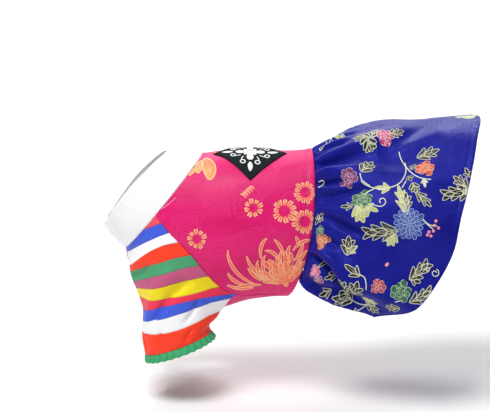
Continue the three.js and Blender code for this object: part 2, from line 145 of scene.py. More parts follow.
# How wide and long each sheet is taken to be for its folds, its puckers and its stitches, and how thick
# the felt is, in metres like the other thicknesses.
COLLAR_GIRTH, COLLAR_LENGTH = 240, 30
JACKET_LENGTH, PANEL_LENGTH, BELLY_RADIUS = 105, 160, 55
SLEEVE_GIRTH, SLEEVE_LENGTH, SLEEVE_RADIUS = 210, 130, 30
SKIRT_HALF, SKIRT_LENGTH, SKIRT_WAIST, SKIRT_HEM = 190, 155, 120, 260
PATCH_SIDE, FELT_THICKNESS = 47, 0.0011
WAIST_SEAM, STITCH_LINE = 9, 8.6


# ---- Small sums ----------------------------------------------------------------------------------
def lerp(x, y, t):
    return x + (y - x) * t


def smoothstep(x, low, high):
    t = np.clip((x - low) / (high - low), 0, 1)
    return t * t * (3 - 2 * t)


def hump(x, centre, width):
    return np.exp(-(((x - centre) / width) ** 2))


def creases(a, b, rows, wide, long, round_and_round=False):
    """Soft troughs and ridges along lines of shares, on a sheet so many millimetres wide and long."""
    height = 0
    for depth, width, path in rows:
        line = np.array(path, float)
        around = line[0, 0] + (a - line[0, 0] + 0.5) % 1 - 0.5 if round_and_round else a
        place = np.stack([around * wide, b * long], -1)
        line = line * (wide, long)
        near, along = np.full(np.shape(a), 1e9), np.zeros(np.shape(a))
        for k, (start, end) in enumerate(zip(line[:-1], line[1:])):
            reach = end - start
            t = np.clip(((place - start) @ reach) / (reach @ reach), 0, 1)
            away = np.linalg.norm(place - start - t[..., None] * reach, axis=-1)
            closer = away < near
            near, along = np.where(closer, away, near), np.where(closer, k + t, along)
        middle = 1 - 0.75 * np.abs(2 * along / (len(path) - 1) - 1) ** 3
        height = height + depth * middle * np.exp(-((near / width) ** 2))
    return height


def unit(v):
    return v / np.maximum(np.linalg.norm(v, axis=-1, keepdims=True), 1e-9)


def dot(u, v):
    return np.sum(u * v, axis=-1, keepdims=True)


def noise(x, y, seed=0):
    """Smooth uneven waves between -1 and 1, about one for each unit of x and y."""
    x, y = np.broadcast_arrays(np.asarray(x, float), np.asarray(y, float))
    column, row = np.floor(x).astype(np.int64), np.floor(y).astype(np.int64)
    fx, fy = x - column, y - row
    fx, fy = fx * fx * (3 - 2 * fx), fy * fy * (3 - 2 * fy)

    def corner(i, j):
        h = (i * 374761393 + j * 668265263 + seed * 1274126177) & 0xFFFFFFFF
        h = ((h ^ (h >> 13)) * 1274126177) & 0xFFFFFFFF
        return (h ^ (h >> 16)) / 2147483648.0 - 1.0

    near = lerp(corner(column, row), corner(column + 1, row), fx)
    far = lerp(corner(column, row + 1), corner(column + 1, row + 1), fx)
    return lerp(near, far, fy)


def table_at(rows, share):
    """A smooth curve through evenly numbered rows."""
    last = len(rows) - 1
    t = np.clip(share, 0, 1) * last
    i = np.minimum(np.floor(t).astype(int), last)
    w = (t - i)[..., None]
    p0, p1 = rows[np.maximum(i - 1, 0)], rows[i]
    p2, p3 = rows[np.minimum(i + 1, last)], rows[np.minimum(i + 2, last)]
    v0, v1 = (p2 - p0) / 2, (p3 - p1) / 2
    return (2 * p1 - 2 * p2 + v0 + v1) * w**3 + (-3 * p1 + 3 * p2 - 2 * v0 - v1) * w**2 + v0 * w + p1


def ring_point(ring, angle):
    down, out = (1 - np.cos(angle)) / 2, np.sin(angle)
    dx, dz = ring[..., 2] - ring[..., 0], ring[..., 3] - ring[..., 1]
    back = ring[..., 5] * out * out / np.hypot(dx, dz)
    return np.stack([
        ring[..., 0] + dx * down - dz * back,
        -ring[..., 4] * out,
        ring[..., 1] + dz * down + dx * back,
    ], axis=-1)


def outwards(surface, a, b, step=2e-3):
    along_a = surface(a + step, b) - surface(a - step, b)
    along_b = surface(a, b + step) - surface(a, b - step)
    return unit(np.cross(along_a, along_b))


def hermite(start, leave, end, arrive, t):
    t = t[..., None]
    return (
        start * (2 * t**3 - 3 * t**2 + 1) + leave * (t**3 - 2 * t**2 + t)
        + end * (3 * t**2 - 2 * t**3) + arrive * (t**3 - t**2)
    )


# ---- The surfaces --------------------------------------------------------------------------------
def trunk(angle, share):
    return ring_point(table_at(TRUNK, share), angle)


def trunk_out(angle, share):
    return outwards(trunk, angle, np.clip(share, 0.005, 0.995))


def side_seam(share):
    return np.radians(table_at(TRUNK, share)[..., 6])


def chest_seam(share):
    return np.radians(table_at(TRUNK, share)[..., 7])


def tucked(distance, depth=0.9, width=0.6):
    """How far a turned edge dips, at a distance in millimetres from its seam."""
    return -depth * np.exp(-((distance / width) ** 2))


def puckers(along, distance, reach=7, height=0.35, pitch=4.6, seed=0):
    """Little uneven gathers that a seam pulls into the cloth beside it."""
    wave = np.sin(TURN * (along / pitch + 0.9 * noise(along / 17, 0.5, seed)))
    return height * wave * (0.55 + 0.45 * noise(along / 11, 4.5, seed + 1)) * np.exp(-distance / reach)


def collar_point(a, b):
    return ring_point(table_at(COLLAR, b), a * TURN)


def collar_out(a, b):
    own = outwards(collar_point, a, np.clip(b, 0.005, 0.97))
    return unit(lerp(own, trunk_out(a * TURN, np.zeros_like(b)), smoothstep(b, 0.6, 1)[..., None]))


def collar_relief(a, b):
    folds = sum(depth * hump(a * 360, angle, width) for angle, width, depth in COLLAR_FOLDS)
    around, along = a * COLLAR_GIRTH, b * COLLAR_LENGTH
    soft = 0.5 * noise(around / 26, along / 40, 3) + 0.28 * noise(around / 9, along / 22, 4)
    front = smoothstep(np.cos((a - 0.5) * TURN), -0.1, 0.8)
    fine = 0.55 * front * noise(around / 6.5, b, 5) * (1 - 0.5 * b)
    fine = fine + puckers(around, COLLAR_LENGTH - along, 6, 0.22, 5.2, 6)
    neck = tucked(along, 0.45, 0.9) + 0.25 * hump(along, 3.2, 1.6) - 0.22 * hump(along, 5.6, 0.7)
    return folds * np.cos(b * math.pi / 2) + soft + fine + neck + tucked(COLLAR_LENGTH - along)


def jacket_place(a, b):
    return lerp(-1, 1, a) * side_seam(b), b


def jacket_relief(a, b):
    angle, share = jacket_place(a, b)
    around, along = angle * BACK_RADIUS, share * JACKET_LENGTH
    soft = 0.75 * noise(around / 30, along / 26, 11) + 0.4 * noise(around / 12, along / 15, 12)
    # drag lines fan out from the underarm
    side = np.abs(around)
    drag = 0.5 * noise((side - 0.7 * along) / 7, (side + along) / 60, 13)
    drag = drag * hump(share, 0.62, 0.3) * smoothstep(side, 55, 110)
    waist = (1 - share) * JACKET_LENGTH
    line = -0.45 * hump(waist, WAIST_SEAM, 0.7) + puckers(around, np.abs(waist - WAIST_SEAM), 4, 0.22, 3.6, 14)
    edge = (side_seam(share) - np.abs(angle)) * BACK_RADIUS
    rim = tucked(waist) + tucked(along) + tucked(edge) + 0.3 * hump(waist, 3.5, 2.6)
    seams = puckers(around, waist, 6, 0.35, 5, 15) + puckers(around, along, 5, 0.2, 5, 16)
    seams = seams + puckers(along, edge, 6, 0.3, 4.4, 17)
    return soft + drag + line + rim + seams


def panel_edge(share):
    return np.maximum(chest_seam(share), side_seam(share))


def panel_place(a, b):
    edge = panel_edge(b)
    return lerp(edge, TURN - edge, a), b


def panel_relief(a, b):
    angle, share = panel_place(a, b)
    around, along = (angle - math.pi) * BELLY_RADIUS, share * PANEL_LENGTH
    soft = 0.9 * noise(around / 18, along / 26, 21) + 0.35 * noise(around / 8, along / 11, 22)
    edge = np.minimum(angle - panel_edge(share), TURN - panel_edge(share) - angle) * BELLY_RADIUS
    waist = (1 - share) * PANEL_LENGTH
    rim = tucked(waist) + tucked(along) + tucked(edge)
    return soft + rim + puckers(along, edge, 5, 0.3, 4.6, 23) + puckers(around, waist, 5, 0.3, 5, 24)


def sleeve_edges():
    """The edge of the left sleeve's hole in shares of its length: along the chest, then over the raglan seam."""
    t = np.linspace(0, 1, 81)
    back, forward = t * UNDERARM, (1 - t) * UNDERARM
    chest = np.stack([np.maximum(chest_seam(back), side_seam(back)), back], -1)
    raglan = np.stack([side_seam(forward), forward], -1)
    neckline = np.stack([lerp(side_seam(0 * t), chest_seam(0 * t), t), 0 * t], -1)
    edges = []
    for pairs in (chest, np.concatenate([raglan, neckline[1:]])):
        places = trunk(pairs[:, 0], pairs[:, 1])
        length = np.concatenate([[0], np.cumsum(np.linalg.norm(np.diff(places, axis=0), axis=1))])
        edges.append((length / length[-1], pairs))
    return edges


INSIDE_EDGE, OUTSIDE_EDGE = sleeve_edges()


def sleeve_seam(a):
    around = a - np.floor(a)
    pick = []
    for k in (0, 1):
        inside = np.interp(around * 2, INSIDE_EDGE[0], INSIDE_EDGE[1][:, k])
        outside = np.interp(around * 2 - 1, OUTSIDE_EDGE[0], OUTSIDE_EDGE[1][:, k])
        pick.append(np.where(around < 0.5, inside, outside))
    return pick


def cuff_point(a):
    forward = np.cos(a * TURN) * CUFF_LONG
    return np.stack([
        CUFF_X - forward * math.cos(CUFF_TILT),
        -CUFF_SIDE + np.sin(a * TURN) * CUFF_WIDE,
        CUFF_Z - forward * math.sin(CUFF_TILT),
    ], axis=-1)


CUFF_DOWN = np.array([math.sin(CUFF_TILT), 0, -math.cos(CUFF_TILT)])


def sleeve_sweep(a, b):
    angle, share = sleeve_seam(a)
    start, end, normal = trunk(angle, share), cuff_point(a), trunk_out(angle, share)
    reach = end - start
    length = np.linalg.norm(reach, axis=-1, keepdims=True)
    outside = smoothstep(-np.sin(a * TURN), -0.3, 0.5)[..., None]
    along_seam = trunk(*sleeve_seam(a + 0.03)) - trunk(*sleeve_seam(a - 0.03))
    aside = unit(np.cross(normal, along_seam)) * (1 - outside) * SLEEVE_ASIDE * length
    leave = unit(reach - normal * outside * dot(reach, normal) + aside) * SLEEVE_PULL * length
    return hermite(start, leave, end, CUFF_DOWN * length * SLEEVE_DROP, b)


def sleeve_point(a, b):
    """The sweep, with the sharp edges that rise from the ends of its seams rounded off below the seam."""
    here = sleeve_sweep(a, b)
    beside = sum(sleeve_sweep(a + step, b) for step in (-0.03, -0.015, 0.015, 0.03)) / 4
    return lerp(here, beside, 0.8 * smoothstep(b, 0.02, 0.22)[..., None])


def sleeve_out(a, b):
    b_here = np.clip(b, 0.03, 0.98)
    across = sleeve_sweep(a + 0.045, b_here) - sleeve_sweep(a - 0.045, b_here)
    down = sleeve_sweep(a, b_here + 2e-3) - sleeve_sweep(a, b_here - 2e-3)
    own = unit(np.cross(across, down))
    return unit(lerp(trunk_out(*sleeve_seam(a)), own, smoothstep(b, 0, 0.3)[..., None]))


def sleeve_relief(a, b, seed=0):
    folds = 0
    for where, down, turn, wide, long, depth in SLEEVE_FOLDS:
        past = b - down
        around = (a - where - turn * past + 1.5) % 1 - 0.5
        folds = folds + depth * hump(around, 0, wide) * hump(past, 0, long)
    folds = folds + 1.35 * creases(a, b, SLEEVE_CREASES, SLEEVE_GIRTH, SLEEVE_LENGTH, True)
    folds = folds * smoothstep(b, 0, 0.2) * smoothstep(1 - b, 0, 0.12)
    # the noise runs on round the sleeve, so it is taken on a circle
    x, y, along = np.cos(a * TURN) * SLEEVE_RADIUS, np.sin(a * TURN) * SLEEVE_RADIUS, b * SLEEVE_LENGTH
    soft = 0.9 * noise(x / 17 + y / 40, along / 26 + y / 21, 31 + seed)
    soft = soft + 0.35 * noise(x / 8, along / 13 + y / 9, 32 + seed)
    tension = 0.5 * noise((x + 0.8 * along) / 9, y / 14, 33 + seed) * hump(b, 0.35, 0.25)
    bottom = (1 - b) * SLEEVE_LENGTH
    rim = tucked(along) + tucked(bottom, 1.1, 0.9)
    around = a * SLEEVE_GIRTH
    seams = puckers(around, along, 7, 0.35, 5, 34) + puckers(around, bottom, 6, 0.5, 5.2, 35)
    return folds + soft * smoothstep(along, 0, 14) * smoothstep(bottom, 0, 10) + tension + rim + seams


def cuff_place(a, b):
    flare = cuff_out(a, b) * (RUFFLE_FLARE * b)[..., None]
    return cuff_point(a) + CUFF_DOWN * (b * RUFFLE_LENGTH)[..., None] + flare


def cuff_out(a, b):
    """The same way out from top to bottom, as the sleeve has it at the cuff."""
    return outwards(sleeve_point, a, np.full_like(a, 0.98))


def cuff_relief(a, b):
    uneven = 0.16 * noise(a * 14 + 3, 0.5, 41) - 0.16 * noise(3, 0.5, 41)
    wave = np.cos(TURN * (a * RUFFLE_WAVES + uneven * np.sin(a * math.pi) ** 2))
    height = RUFFLE_HEIGHT * (0.3 + 1.2 * b) * (0.8 + 0.35 * noise(a * 22, 1.5, 42))
    along = b * RUFFLE_LENGTH
    rim = tucked(along, 0.8, 0.8) + tucked(RUFFLE_LENGTH - along, 0.35, 0.5)
    return height * wave + rim - 0.3 * hump(along, 1.6, 0.5)


def skirt_point(side, b):
    rib = table_at(SKIRT, (side + 1) / 2)
    angle = np.radians(rib[..., 0])
    one = np.ones_like(angle)
    start = trunk(angle, one)
    bulge = HEM_BULGE * hump(np.abs(side), 0.62, 0.1)
    end = np.stack([rib[..., 1] + bulge, -rib[..., 2], rib[..., 3]], -1)
    reach = end - start
    length = np.linalg.norm(reach, axis=-1, keepdims=True)
    straight, out = reach / length, trunk_out(angle, one)
    outward = unit(out - straight * dot(out, straight))
    rise, fill = np.radians(rib[..., 4])[..., None], rib[..., 5][..., None]
    leave = unit(straight * np.cos(rise) + outward * np.sin(rise)) * length * (0.9 + 0.3 * fill)
    arrive = unit(straight - outward * np.sin(rise) * fill * 0.5) * length * 0.9
    return hermite(start, leave, end, arrive, b)


def skirt_out(side, b):
    own = outwards(skirt_point, np.clip(side, -0.98, 0.98), np.clip(b, 0.02, 0.98))
    angle = np.radians(table_at(SKIRT, (side + 1) / 2)[..., 0])
    return unit(lerp(trunk_out(angle, np.ones_like(angle)), own, smoothstep(b, 0, 0.2)[..., None]))


def skirt_relief(side, b):
    fade = (1 - smoothstep(b, 0, GATHER_LENGTH)) * (1 + 2 * b)
    height = GATHER_HEIGHT * fade * np.cos(side * math.pi * SKIRT_GATHERS)
    for around, width, depth, start, end in SKIRT_FOLDS:
        grow = smoothstep(b, start, start + 0.35) * (1 - smoothstep(b, end - 0.35, end))
        height = height + depth * hump(side, around, width * (0.6 + 0.6 * b)) * grow
    free = 0.3 + 0.7 * smoothstep(b, 0.0, 0.07)
    height = height + creases(side, b, SKIRT_CREASES, SKIRT_HALF, SKIRT_LENGTH) * free
    beyond = 0.85 * smoothstep(-side, 0.03, 0.11)
    height = height + beyond * creases((0.02 - side) * 1.03, b, SKIRT_CREASES, SKIRT_HALF, SKIRT_LENGTH) * free
    along, across = b * SKIRT_LENGTH, side * lerp(SKIRT_WAIST, SKIRT_HEM, b)
    pleats = 0.75 * np.sin(TURN * (side * 33 + 0.6 * noise(side * 14, b * 2, 51))) * np.exp(-along / 26)
    pleats = pleats * (0.6 + 0.4 * noise(side * 18, 2.5, 52))
    soft = 0.9 * noise(across / 30, along / 46, 53) + 0.35 * noise(across / 13 + along / 30, along / 24, 54)
    hem = (1 - b) * SKIRT_LENGTH
    rim = tucked(along) + tucked(hem, 0.4, 0.6) + 0.35 * hump(hem, 2.2, 1.8) - 0.3 * hump(hem, 6.2, 0.8)
    ends = (1 - np.abs(side)) * 230
    rim = rim + tucked(ends, 0.4, 0.7) + puckers(across, hem, 5, 0.25, 6, 55)
    return height + pleats + soft * smoothstep(along, 0, 25) + rim


def patch_place(a, b):
    angle = PATCH_ROLL + (a - b) * PATCH_HALF / BACK_RADIUS
    x = PATCH_X + (a + b - 1) * PATCH_HALF
    low, high = np.zeros_like(x), np.ones_like(x)
    for _ in range(24):
        middle = (low + high) / 2
        under = trunk(angle, middle)[..., 0] < x
        low, high = np.where(under, middle, low), np.where(under, high, middle)
    return angle, (low + high) / 2


def patch_relief(a, b):
    angle, share = patch_place(a, b)
    under = jacket_relief(angle / side_seam(share) / 2 + 0.5, share)
    edge = np.minimum(np.minimum(a, 1 - a), np.minimum(b, 1 - b)) * PATCH_SIDE
    return JACKET_CLOTH + PATCH_GAP + 0.8 * under + tucked(edge, 0.5, 0.7) - 0.18 * hump(edge, 2.2, 0.5)


class Cloth:
    """A sheet: its inner face, the way out of it, how far both are lifted, and its outer face over them."""

    def __init__(self, point, out, relief, thickness, span=(0.0, 1.0), mirrored=False):
        self.point, self.out, self.relief = point, out, relief
        self.thickness, self.span, self.mirrored = thickness, span, mirrored
        self.seen = None

    def outer(self, a, b, lift=0.0):
        a, b = np.asarray(a, float), np.asarray(b, float)
        height = self.relief(a, b) + self.thickness + lift
        place = self.point(a, b) + self.out(a, b) * np.asarray(height)[..., None]
        return place * (1, -1, 1) if self.mirrored else place


def on_trunk(place):
    return {"point": lambda a, b: trunk(*place(a, b)), "out": lambda a, b: trunk_out(*place(a, b))}


SHEETS = {
    "collar": Cloth(collar_point, collar_out, collar_relief, COLLAR_CLOTH),
    "jacket": Cloth(relief=jacket_relief, thickness=JACKET_CLOTH, **on_trunk(jacket_place)),
    "chest_panel": Cloth(relief=panel_relief, thickness=JACKET_CLOTH, **on_trunk(panel_place)),
    "patch": Cloth(relief=patch_relief, thickness=PATCH_CLOTH, **on_trunk(patch_place)),
    "skirt": Cloth(skirt_point, skirt_out, skirt_relief, SKIRT_CLOTH, span=(-1.0, 1.0)),
    "sleeve_left": Cloth(sleeve_point, sleeve_out, sleeve_relief, SLEEVE_CLOTH),
    "sleeve_right": Cloth(sleeve_point, sleeve_out, lambda a, b: sleeve_relief(a, b, 60), SLEEVE_CLOTH,
                          mirrored=True),
    "cuff_left": Cloth(cuff_place, cuff_out, cuff_relief, RUFFLE_CLOTH),
    "cuff_right": Cloth(cuff_place, cuff_out, cuff_relief, RUFFLE_CLOTH, mirrored=True),
}

# ---- The side view that places are read in -------------------------------------------------------
# Places on the dress are given in the side view from the dog's left: x to the tail and y down, in steps
# of 0.93 mm from the view's top left corner.
VIEW_STEP, VIEW_MIDDLE, VIEW_WIDTH = 0.93, (245.0, 206.0), 490
VIEW_TARGET = np.array([-4.65, 0, -51.2])
VIEW_DISTANCE, VIEW_RISE = 1300.0, math.radians(10)
VIEW_FORWARD = np.array([0, math.cos(VIEW_RISE), -math.sin(VIEW_RISE)])
VIEW_UP = np.array([0, math.sin(VIEW_RISE), math.cos(VIEW_RISE)])
VIEW_EYE = VIEW_TARGET - VIEW_FORWARD * VIEW_DISTANCE


def side_view(places):
    """Where points in millimetres show in the side view."""
    rays = places - VIEW_EYE
    scale = VIEW_DISTANCE / VIEW_STEP / (rays @ VIEW_FORWARD)
    return np.stack([VIEW_MIDDLE[0] + scale * rays[..., 0], VIEW_MIDDLE[1] - scale * (rays @ VIEW_UP)], -1)


def find_on(cloth, spots):
    """The shares at which a sheet shows at these spots of the side view."""
    low, high = cloth.span
    if cloth.seen is None:
        a, b = np.meshgrid(np.linspace(low + 0.004, high - 0.004, 150), np.linspace(0.004, 0.996, 90))
        places = cloth.outer(a, b)
        across = np.stack(np.gradient(places, axis=(0, 1)), 0)
        facing = np.sum(np.cross(across[1], across[0]) * (VIEW_EYE - places), -1) > 0
        cloth.seen = a[facing], b[facing], side_view(places[facing])
    flat = np.asarray(spots, float).reshape(-1, 2)
    a0, b0, shown = cloth.seen
    nearest = np.array([np.argmin(np.sum((shown - spot) ** 2, axis=1)) for spot in flat])
    a, b = a0[nearest].copy(), b0[nearest].copy()
    for _ in range(7):
        here = side_view(cloth.outer(a, b))
        step = 1.5e-3
        da = (side_view(cloth.outer(a + step, b)) - here) / step
        db = (side_view(cloth.outer(a, b + step)) - here) / step
        miss = flat - here
        size = da[:, 0] * db[:, 1] - da[:, 1] * db[:, 0]
        size = np.where(np.abs(size) < 400, np.sign(size + 1e-9) * 400, size)
        move_a = (miss[:, 0] * db[:, 1] - miss[:, 1] * db[:, 0]) / size
        move_b = (da[:, 0] * miss[:, 1] - da[:, 1] * miss[:, 0]) / size
        a = np.clip(a + np.clip(move_a, -0.03, 0.03), low + 0.002, high - 0.002)
        b = np.clip(b + np.clip(move_b, -0.03, 0.03), 0.003, 0.997)
    return np.stack([a, b], -1).reshape(np.shape(spots))


def steps_on(cloth, a, b):
    """The steps in shares for one millimetre right and up on the cloth at these shares."""
    step = 4e-3
    smooth = lambda x, y: cloth.point(np.array([x]), np.array([y]))[0]
    along_a = (smooth(a + step, b) - smooth(a - step, b)) / (2 * step)
    along_b = (smooth(a, min(b + step, 1)) - smooth(a, max(b - step, 0))) / (min(b + step, 1) - max(b - step, 0))
    normal = unit(np.cross(along_a, along_b))
    right = unit(np.array([1.0, 0, 0]) - normal * normal[0])
    up = np.cross(normal, right)
    if up[2] < 0 and abs(up[2]) > 0.2:
        up = -up
    metric = np.array([[along_a @ along_a, along_a @ along_b], [along_a @ along_b, along_b @ along_b]])
    inverse = np.linalg.inv(metric)
    return [inverse @ np.array([along_a @ way, along_b @ way]) for way in (right, up)]


# ---- Meshes --------------------------------------------------------------------------------------
def put_mesh(name, points, faces, corners=None, uv=None, slots=None, values=None, colours=None):
    """A smooth mesh at the origin from points in millimetres. corners numbers the uv of each face's corners."""
    mesh = bpy.data.meshes.new(name)
    points = np.asarray(points, float)
    mesh.from_pydata((points * 0.001).tolist(), [], faces.tolist() if hasattr(faces, "tolist") else faces)
    mesh.polygons.foreach_set("use_smooth", np.ones(len(mesh.polygons), bool))
    if slots is not None:
        mesh.polygons.foreach_set("material_index", np.asarray(slots, np.int32))
    if uv is not None:
        layer = mesh.uv_layers.new(name="UVMap")
        layer.data.foreach_set("uv", uv[np.asarray(corners).ravel()].astype(np.float32).ravel())
    for label, array in (values or {}).items():
        mesh.attributes.new(label, "FLOAT", "POINT").data.foreach_set("value", np.asarray(array, np.float32))
    if colours is not None:
        layer = mesh.color_attributes.new("Thread", "FLOAT_COLOR", "POINT")
        layer.data.foreach_set("color", np.asarray(colours, np.float32).ravel())
    mesh.update()
    thing = bpy.data.objects.new(name, mesh)
    bpy.context.scene.collection.objects.link(thing)
    return thing


def shares(count, length):
    """Shares from 0 to 1, closer together beside the turned edges."""
    near = np.array([0, 0.3, 0.65, 1.1, 1.7]) / length
    return np.concatenate([near, np.linspace(2.5 / length, 1 - 2.5 / length, count), 1 - near[::-1]])


def run_along(points, axis):
    """The length run along each line of a grid of points, from 0."""
    steps = np.cumsum(np.linalg.norm(np.diff(points, axis=axis), axis=2), axis=axis)
    return np.insert(steps, 0, 0.0, axis=axis)


# How each sheet is divided: shares round it and down it, its width and length there, and whether it closes
# into a ring.
DIVISIONS = {
    "collar": (260, 26, COLLAR_GIRTH, 32, True),
    "jacket": (240, 84, 260, JACKET_LENGTH, False),
    "chest_panel": (60, 110, 70, PANEL_LENGTH, False),
    "sleeve": (210, 110, SLEEVE_GIRTH, SLEEVE_LENGTH, True),
    "cuff": (448, 12, 190, 8, True),
    "skirt": (388, 108, 400, SKIRT_LENGTH, False),
    "patch": (44, 44, PATCH_SIDE, PATCH_SIDE, False),
}


def sew(name, sheet, thickness, marks=None):
    """The closed shell of a sheet of cloth: outer face, inner face and the rounded edges between them."""
    cloth = SHEETS[sheet]
    around, down, width, length, closed = DIVISIONS[sheet.removesuffix("_left").removesuffix("_right")]
    thickness = thickness * 1000
    low, high = cloth.span
    a = np.linspace(0, 1, around + 1) if closed else shares(around, width)
    b = shares(down, length)
    grid_a, grid_b = np.meshgrid(low + (high - low) * a, b)
    outer = cloth.outer(grid_a, grid_b)
    along_a = np.gradient(outer, axis=1)
    if closed:
        ends = (outer[:, 1] - outer[:, -2]) / 2
        along_a[:, 0] = along_a[:, -1] = ends
    along_b = np.gradient(outer, axis=0)
    way_out = unit(np.cross(along_a, along_b)) * (-1 if cloth.mirrored else 1)
    inner = outer - way_out * thickness
    start = (outer[:1] + inner[:1]) / 2 + unit(outer[:1] - outer[1:2]) * thickness * 0.35
    end = (outer[-1:] + inner[-1:]) / 2 + unit(outer[-1:] - outer[-2:-1]) * thickness * 0.35
    rows = np.concatenate([start, outer, end, inner[::-1]])
    step_a, step_b = run_along(outer, 1), run_along(outer, 0)
    flat = np.stack([step_a - step_a[:, -1:] / 2, step_b], -1)
    flat_rows = np.concatenate([flat[:1], flat, flat[-1:], flat[::-1]])
    count, total = len(rows), len(a)
    columns = total - 1 if closed else total
    points = rows[:, :columns].reshape(-1, 3)
    r, c = np.meshgrid(np.arange(count), np.arange(total - 1), indexing="ij")
    r2 = (r + 1) % count

    def number(row, column):
        return row * columns + column % columns

    def corner(row, column):
        return row * total + column

    faces = np.stack([number(r, c), number(r, c + 1), number(r2, c + 1), number(r2, c)], -1).reshape(-1, 4)
    corners = np.stack([corner(r, c), corner(r, c + 1), corner(r2, c + 1), corner(r2, c)], -1).reshape(-1, 4)
    slots = np.where((r > len(b)) & (r < count - 1), 1, 0).ravel()
    uv = flat_rows.reshape(-1, 2)
    values = {label: mark(rows[:, :columns]).ravel() for label, mark in (marks or {}).items()}
    if not closed:
        sides = []
        for column, turn in ((0, 1), (total - 1, -1)):
            beside = outer[:, column + turn]
            edge = (outer[:, column] + inner[:, column]) / 2 + unit(outer[:, column] - beside) * thickness * 0.35
            first = len(points)
            points = np.concatenate([points, edge])
            for label, mark in (marks or {}).items():
                values[label] = np.concatenate([values[label], mark(edge)])
            uv_first = len(uv)
            uv = np.concatenate([uv, flat[:, column]])
            j = np.arange(len(b) - 1)
            rim, rim_uv = first + j, uv_first + j
            out_j, in_j = number(1 + j, column), number(count - 1 - j, column)
            out_uv, in_uv = corner(1 + j, column), corner(count - 1 - j, column)
            next_out, next_out_uv = number(2 + j, column), corner(2 + j, column)
            next_in, next_in_uv = number(count - 2 - j, column), corner(count - 2 - j, column)
            quads = [
                ([rim, out_j, next_out, rim + 1], [rim_uv, out_uv, next_out_uv, rim_uv + 1]),
                ([in_j, rim, rim + 1, next_in], [in_uv, rim_uv, rim_uv + 1, next_in_uv]),
            ]
            last = len(b) - 1
            one = lambda *items: [np.array([item]) for item in items]
            quads.append((
                one(number(0, column), number(1, column), first, number(count - 1, column)),
                one(corner(0, column), corner(1, column), uv_first, corner(count - 1, column)),
            ))
            ends = [1 + last, 2 + last, 3 + last]
            quads.append((
                one(*(number(end, column) for end in ends), first + last),
                one(*(corner(end, column) for end in ends), uv_first + last),
            ))
            for face, face_uv in quads:
                order = face if turn > 0 else face[::-1]
                order_uv = face_uv if turn > 0 else face_uv[::-1]
                sides.append((np.stack(order, -1), np.stack(order_uv, -1)))
        faces = np.concatenate([faces] + [face for face, _ in sides])
        corners = np.concatenate([corners] + [face for _, face in sides])
        slots = np.concatenate([slots, np.zeros(len(faces) - len(slots), int)])
    if cloth.mirrored:
        faces, corners = faces[:, ::-1], corners[:, ::-1]
    return put_mesh(name, points, faces, corners, uv, slots, values)


class Motif:
    """Woven figures gathered as little strips and discs, in the shares of the sheet that carries them."""

    def __init__(self, cloth):
        self.cloth = cloth
        self.shares, self.lifts, self.colours, self.flat, self.faces = [], [], [], [], []
        self.count = 0

    def grid(self, spots, lift, colour, closed=False):
        """A patch of rows and columns of shares, lifted by so many millimetres."""
        rows, columns = spots.shape[:2]
        number = self.count + np.arange(rows * columns).reshape(rows, columns)
        quads = np.stack([number[:-1, :-1], number[:-1, 1:], number[1:, 1:], number[1:, :-1]], -1)
        self.faces.append(quads.reshape(-1, 4))
        if closed:
            ends = np.stack([number[:-1, -1], number[:-1, 0], number[1:, 0], number[1:, -1]], -1)
            self.faces.append(ends.reshape(-1, 4))
        self.shares.append(spots.reshape(-1, 2))
        self.lifts.append(np.broadcast_to(lift, (rows, columns)).ravel())
        tint = np.broadcast_to(np.asarray(colour, float), (rows, columns, 3)).reshape(-1, 3)
        self.colours.append(tint)
        u, v = np.meshgrid(np.arange(columns), np.arange(rows))
        self.flat.append(np.stack([u, v], -1).reshape(-1, 2).astype(float))
        self.count += rows * columns

    def object(self, name, both_sides=True, height=0.0):
        cloth = self.cloth
        shares_all, lifts = np.concatenate(self.shares), np.concatenate(self.lifts)
        low, high = cloth.span
        margin = 0.0015 * (high - low)
        a = np.clip(shares_all[:, 0], low + margin, high - margin)
        b = np.clip(shares_all[:, 1], 0.004, 0.996)
        points = cloth.outer(a, b, lifts + height)
        faces = np.concatenate(self.faces)
        across = points[faces[:, 2]] - points[faces[:, 0]]
        over = points[faces[:, 3]] - points[faces[:, 1]]
        out = cloth.out(a[faces[:, 0]], b[faces[:, 0]]) * ((1, -1, 1) if cloth.mirrored else 1)
        wrong = np.sum(np.cross(across, over) * out, -1) < 0
        faces[wrong] = faces[wrong][:, ::-1]
        colours, flat = np.concatenate(self.colours), np.concatenate(self.flat)
        if both_sides:
            other = cloth.outer(low + high - a, b, lifts + height)
            faces = np.concatenate([faces, faces[:, ::-1] + len(points)])
            points = np.concatenate([points, other])
            colours, flat = np.tile(colours, (2, 1)), np.tile(flat, (2, 1))
        colours = np.concatenate([colours, np.ones((len(colours), 1))], 1)
        return put_mesh(name, points, faces, faces, flat, colours=colours)


def bent(points, count):
    """A smooth line of count points through a few."""
    points = np.asarray(points, float)
    if len(points) == 2:
        return lerp(points[0], points[1], np.linspace(0, 1, count)[:, None])
    t = np.linspace(0, 1, count)
    return table_at(points, t)


def strip(line, widths, lift, across=5):
    """Rows of points along a line in a plane, half as wide to each side as widths says, crowned to lift."""
    ahead = np.gradient(line, axis=0)
    side = unit(np.stack([-ahead[:, 1], ahead[:, 0]], -1))
    t = np.linspace(-1, 1, across)
    spots = line[:, None] + side[:, None] * (np.asarray(widths)[:, None] / 2 * t)[..., None]
    crown = (1 - np.abs(t) ** 2.4)[None, :] * np.minimum(1, np.asarray(widths)[:, None] / 0.9)
    return spots, 0.05 + lift * crown


def taper(count, start, middle, end, where=0.5):
    """Widths along a petal or a leaf, from its start through its fullest part to its end."""
    t = np.linspace(0, 1, count)
    rise = np.sin(np.clip(t / where, 0, 1) * math.pi / 2)
    fall = np.sin(np.clip((1 - t) / (1 - where), 0, 1) * math.pi / 2) ** 0.85
    return np.where(t < where, start + (middle - start) * rise, end + (middle - end) * fall)


